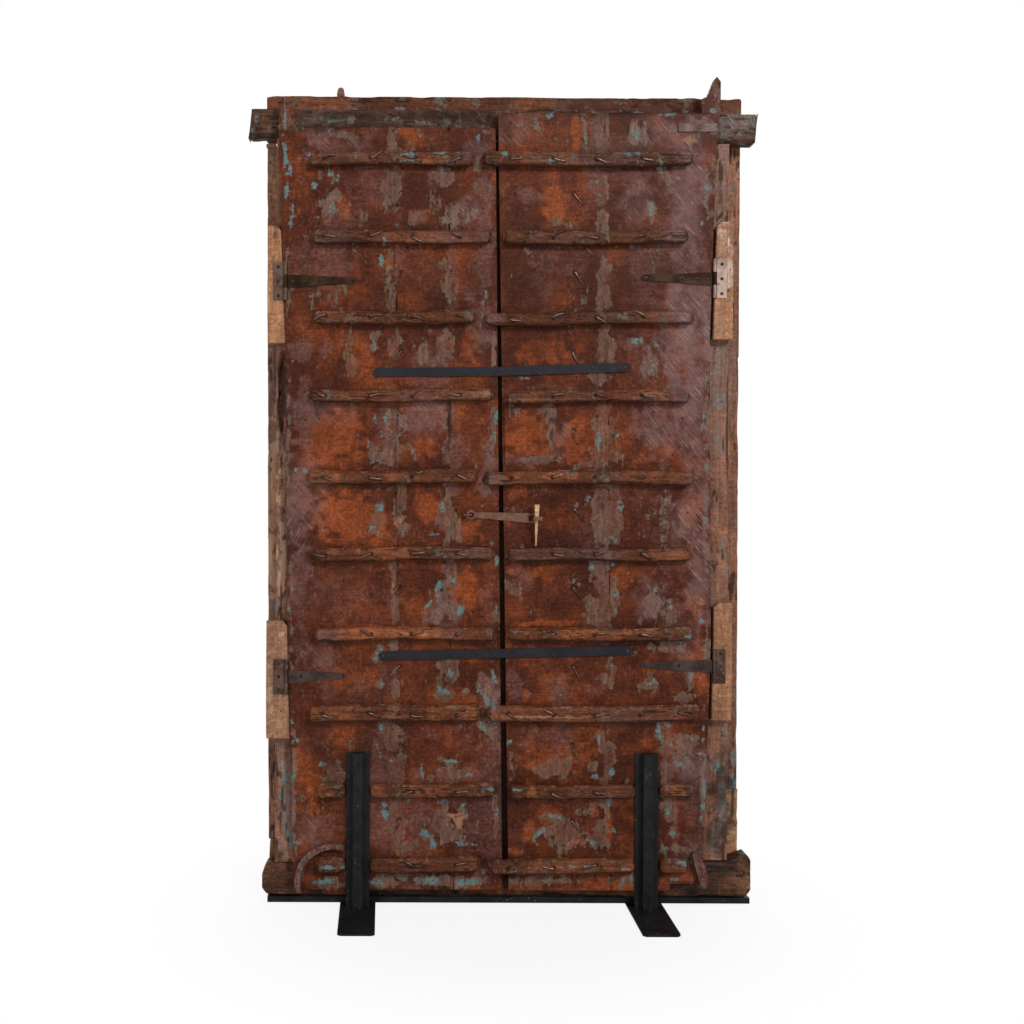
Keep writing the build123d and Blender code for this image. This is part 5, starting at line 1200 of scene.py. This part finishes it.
# the scooped hollow of the left jamb
jambLook = dict(postLook, dents=[(1.436, -0.612, 0.13, 0.027, 0.018)])
hewnPiece("jamb_left", 2, jambLook, uprightFrame, 600)
for index, node in enumerate(["jamb_right", "casing_left", "casing_right"]):
    hewnPiece(node, 2, postLook, uprightFrame, 620 + 20 * index)
# the meeting post's front gets painted shade, dark like the shaded gap between the leaves
hewnPiece("meeting_post", 2, dict(postLook, shadedFront=1.4), uprightFrame, 680)
# the beams get painted shade on their lower side and a paler top, partly wear and partly a painted highlight
beamLook = {
    "step": 0.0058, "radius": 0.007, "wave": 0.005, "rough": 0.0016, "chip": 0.008, "waveSize": 0.04,
    "endRound": 0.007, "split": 0.005, "splitSize": 0.022, "blueEdge": 0.6, "filmed": 0.9,
    "under": 0.5, "rubbedAndLit": 0.3,
}
hewnPiece("lintel", 0, dict(beamLook, endRound=0.012), levelFrame, 720)
hewnPiece("casing_head", 0, beamLook, levelPaint, 740)
sillLook = {
    "step": 0.0065, "radius": 0.009, "wave": 0.005, "rough": 0.0016, "chip": 0.008, "waveSize": 0.04,
    "endRound": 0.008, "split": 0.005, "splitSize": 0.03,
}
hewnPiece("sill", 0, sillLook, sillTimber, 780)
for index, node in enumerate(["casing_foot_left", "casing_foot_right"]):
    hewnPiece(node, 2, postLook, rawTimber, 800 + 20 * index)
shimLook = dict(postLook, wave=0.0005, chip=0.0, sideGrow=0.003)
hewnPiece("casing_shim", 2, shimLook, rawTimber, 840)
blockLook = {
    "step": 0.005, "radius": 0.004, "wave": 0.0015, "rough": 0.0006, "chip": 0.003, "waveSize": 0.05,
    "flaked": 0.3, "filmed": 0.1, "blueEdge": 0.1,
}
for index, place in enumerate(["upper_left", "lower_left", "upper_right", "lower_right"]):
    hewnPiece("packing_block_" + place, 2, blockLook, rawTimber, 860 + 20 * index)
report("timber")


def softened(node, width, material, body="door", segments=2, values=None):
    # the node's own solid, merged and with its hard edges rounded by the width; values are the same
    # all over it
    points, triangles = nodeArrays(node)
    mesh = bpy.data.meshes.new("soft_" + node)
    mesh.from_pydata(points.tolist(), [], triangles.tolist())
    work = bmesh.new()
    work.from_mesh(mesh)
    bmesh.ops.remove_doubles(work, verts=work.verts, dist=tiny)
    flatAngle = math.radians(0.5)
    bmesh.ops.dissolve_limit(work, angle_limit=flatAngle, verts=work.verts, edges=work.edges)
    work.to_mesh(mesh)
    work.free()
    for label, value in (values or {}).items():
        layer = mesh.attributes.new(label, "FLOAT", "POINT")
        layer.data.foreach_set("value", [value] * len(mesh.vertices))
    mesh.materials.append(material)
    mesh.shade_smooth()
    piece = bpy.data.objects.new("soft_" + node, mesh)
    bpy.context.scene.collection.objects.link(piece)
    bevel = piece.modifiers.new("rounded_edges", "BEVEL")
    bevel.width = width
    bevel.segments = segments
    bevel.limit_method = "ANGLE"
    bevel.angle_limit = math.radians(32)
    bevel.harden_normals = True
    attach(piece, body)
    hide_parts(node)
    return piece


plateFinish = {
    "upperleft": metals["rusty_hinge"], "upperright": metals["hinge_steel"],
    "lowerleft": metals["rusty_hinge"], "lowerright": metals["rusty_hinge"],
}
strapFinish = {"upper": metals["strap_iron"], "lower": metals["dull_iron"]}
kneeWear = {"film": 0.42, "plum": 0.8, "dirt_and_shade": 0.3, "teal": 0.2, "bare": 0.15}
for side in ("left", "right"):
    softened("pivot_knee_" + side, 0.005, uprightPaint, "door", 3, kneeWear)
    softened("upright_" + side, 0.0008, metals["black_steel"])
for level in ("upper", "lower"):
    softened("cross_strap_" + level, 0.0007, metals["strap_steel"])
    for side in ("left", "right"):
        softened(f"hinge_plate_{level}_{side}", 0.0003, plateFinish[level + side])
        softened(f"hinge_strap_{level}_{side}", 0.0004, strapFinish[level])
softened("hasp", 0.0009, metals["forged_iron"])
softened("lock_staple", 0.0008, metals["forged_iron"])
softened("eye_staple", 0.001, metals["forged_iron"])
softened("iron_band", 0.0006, metals["band_iron"])
softened("top_lug", 0.002, metals["forged_iron"], "door", 3)
softened("lock_peg", 0.0012, pegTimber, "peg", 3)
for node in ("stand_rail", "foot_left", "foot_right", "hinge_pins"):
    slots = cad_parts[node].data.materials
    finish = metals["hinge_steel"] if node == "hinge_pins" else metals["black_steel"]
    slots.clear()
    slots.append(finish)
report("ironwork")


domeRim = 0.22


def domeField(centres, radius, rise, direction, look):
    # low domes on a flat face: above a rim that drops straight down, the height is the root of one less
    # the square of the distance from the middle; the base is closed, and every dome is the same grid
    # moved to its centre
    sectors = look["sectors"]
    share = np.linspace(1, 0, look["rings"])[:, None]
    angle = np.linspace(0, 2 * math.pi, sectors, endpoint=False)[None, :]
    across = radius * share * np.cos(angle)
    up = radius * share * np.sin(angle)
    bulge = np.sqrt(np.maximum(1 - share ** 2, 0))
    height = rise * (domeRim + (1 - domeRim) * bulge) * np.ones_like(angle)
    inSlot = (np.abs(up) < radius * 0.2) & (np.abs(across) < radius * 0.8)
    height = height - look["slotShare"] * rise * inSlot
    skirt = np.stack([across[:1], np.zeros_like(across[:1]), up[:1]], axis=-1)
    cap = np.stack([across, height, up], axis=-1)
    grid = np.concatenate([skirt, cap])
    grid[..., 1] *= direction
    stations = len(grid)
    points = centres[:, None, None, :] + grid[None]
    if look["hammered"]:
        press = layeredNoise(points, radius * 0.6, 2, 5)
        points[..., 1] -= direction * look["hammered"] * press * (np.arange(stations) > 0)[None, :, None]
    quads, fans = closedGrid(grid)[1:]
    count = stations * sectors
    ends = np.stack([points[:, 0].mean(axis=1), points[:, -1].mean(axis=1)], axis=1)
    allPoints = np.concatenate([points.reshape(len(centres), count, 3), ends], axis=1)
    step = (np.arange(len(centres)) * (count + 2))[:, None, None]
    faces = (quads[None] + step).reshape(-1, 4).tolist() + (fans[None] + step).reshape(-1, 3).tolist()
    return allPoints.reshape(-1, 3), faces


# Brass studs on the outer face, and screw heads on hinges and straps
studLook = {"count": 108, "rings": 8, "sectors": 20, "hammered": 0.0012, "slotShare": 0.0}
studIslands = nodeIslands("brass_studs", studLook["count"])
studCentres = (studIslands.min(axis=1) + studIslands.max(axis=1)) / 2
studCentres[:, 1] = studIslands[:, :, 1].min(axis=1)
studRadius = (studIslands[0, :, 2].max() - studIslands[0, :, 2].min()) / 2
studRise = studIslands[0, :, 1].max() - studIslands[0, :, 1].min()
points, faces = domeField(studCentres, studRadius, studRise, 1, studLook)
addPiece("brass_stud_heads", points, faces, metals["aged_brass"], "door", ("brass_studs",))
screwLook = {"count": 32, "rings": 8, "sectors": 24, "hammered": 0.0, "slotShare": 0.3}
screwIslands = nodeIslands("screws", screwLook["count"])
screwCentres = (screwIslands.min(axis=1) + screwIslands.max(axis=1)) / 2
screwCentres[:, 1] = screwIslands[:, :, 1].max(axis=1)
screwRadius = (screwIslands[0, :, 0].max() - screwIslands[0, :, 0].min()) / 2
screwRise = screwIslands[0, :, 1].max() - screwIslands[0, :, 1].min()
points, faces = domeField(screwCentres, screwRadius, screwRise, -1, screwLook)
addPiece("screw_heads", points, faces, metals["screw_steel"], "door", ("screws",))
points, faces = manyTubes(nailRings)
addPiece("bent_nails", points, faces, metals["nail_iron"], "door", ("clenched_nails",))
report("studs, screws and nails")


# Floor, light and camera
floorLook = {"half": 9.0, "tone": 0.84, "fadeStart": 0.35, "fadeEnd": 1.1, "whiteNear": 0.86}


def addFloor():
    # pale floor that keeps the shadow near the object and fades to the white background further off
    half = floorLook["half"]
    tone = floorLook["tone"]
    mesh = bpy.data.meshes.new("studio_floor")
    corners = [(-half, -half, 0), (half, -half, 0), (half, half, 0), (-half, half, 0)]
    mesh.from_pydata(corners, [], [(0, 1, 2, 3)])
    floor = bpy.data.objects.new("studio_floor", mesh)
    bpy.context.scene.collection.objects.link(floor)
    material, tree, shader, coord = startMaterial("pale_floor")
    shader.inputs["Base Color"].default_value = (tone, tone, tone, 1)
    shader.inputs["Roughness"].default_value = 0.8
    shader.inputs["Specular IOR Level"].default_value = 0.1
    distance = tree.nodes.new("ShaderNodeVectorMath")
    distance.operation = "LENGTH"
    link(tree, coord, distance.inputs[0])
    white = tree.nodes.new("ShaderNodeEmission")
    blend = tree.nodes.new("ShaderNodeMixShader")
    rays = tree.nodes.new("ShaderNodeLightPath")
    reach = distance.outputs["Value"]
    far = stepNode(tree, reach, floorLook["fadeStart"], floorLook["fadeEnd"], floorLook["whiteNear"], 1.0)
    link(tree, product(tree, far, rays.outputs["Is Camera Ray"]), blend.inputs["Fac"])
    link(tree, shader.outputs["BSDF"], blend.inputs[1])
    link(tree, white.outputs["Emission"], blend.inputs[2])
    link(tree, blend.outputs["Shader"], tree.nodes["Material Output"].inputs["Surface"])
    mesh.materials.append(material)


def addWorld(strength):
    # white where the camera, glass or metal sees it, and a dim even light on the object
    world = bpy.data.worlds.new("studio")
    bpy.context.scene.world = world
    world.use_nodes = True
    tree = world.node_tree
    background = tree.nodes["Background"]
    background.inputs["Color"].default_value = (1, 1, 1, 1)
    rays = tree.nodes.new("ShaderNodeLightPath")
    seen = greater(tree, rays.outputs["Is Camera Ray"], rays.outputs["Is Transmission Ray"])
    seen = greater(tree, seen, rays.outputs["Is Glossy Ray"])
    level = total(tree, product(tree, seen, 1.0 - strength), strength)
    link(tree, level, background.inputs["Strength"])


def addLamp(name, place, size, power):
    # a square lamp, in metres and watts, turned to the middle of the door
    target = (0, 0, 1.1)
    light = bpy.data.lights.new(name, "AREA")
    light.shape = "SQUARE"
    light.size = size
    light.energy = power
    lamp = bpy.data.objects.new(name, light)
    lamp.location = place
    lamp.rotation_euler = (Vector(target) - Vector(place)).to_track_quat("-Z", "Y").to_euler()
    bpy.context.scene.collection.objects.link(lamp)


def addCamera():
    # the photograph's own view: level, a little left of the middle, framed by shifts
    view = {
        "x": -0.329, "height": 1.228, "distance": 3.8, "lens": 48.05,
        "right": 0.124, "up": -0.044, "roll": 0.2,
    }
    camera = bpy.data.cameras.new("photo_view")
    camera.lens = view["lens"]
    camera.sensor_width = 36
    camera.shift_x = view["right"]
    camera.shift_y = view["up"]
    holder = bpy.data.objects.new("photo_view", camera)
    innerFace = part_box("left_plank_inner")[0][1]
    holder.location = (view["x"], innerFace - view["distance"], view["height"])
    holder.rotation_euler = (math.radians(90), math.radians(-view["roll"]), 0)
    bpy.context.scene.collection.objects.link(holder)
    bpy.context.scene.camera = holder


addFloor()
worldLight = 0.24
addWorld(worldLight)
addLamp("key_upper_right", (3.0, -6.4, 5.0), 1.7, 400)
addLamp("fill_left", (-3.4, -4.0, 1.0), 2.6, 85)
addLamp("back_light", (0.5, 4.0, 3.2), 3, 110)
addCamera()
bpy.context.scene.view_settings.view_transform = "Standard"
report("studio")
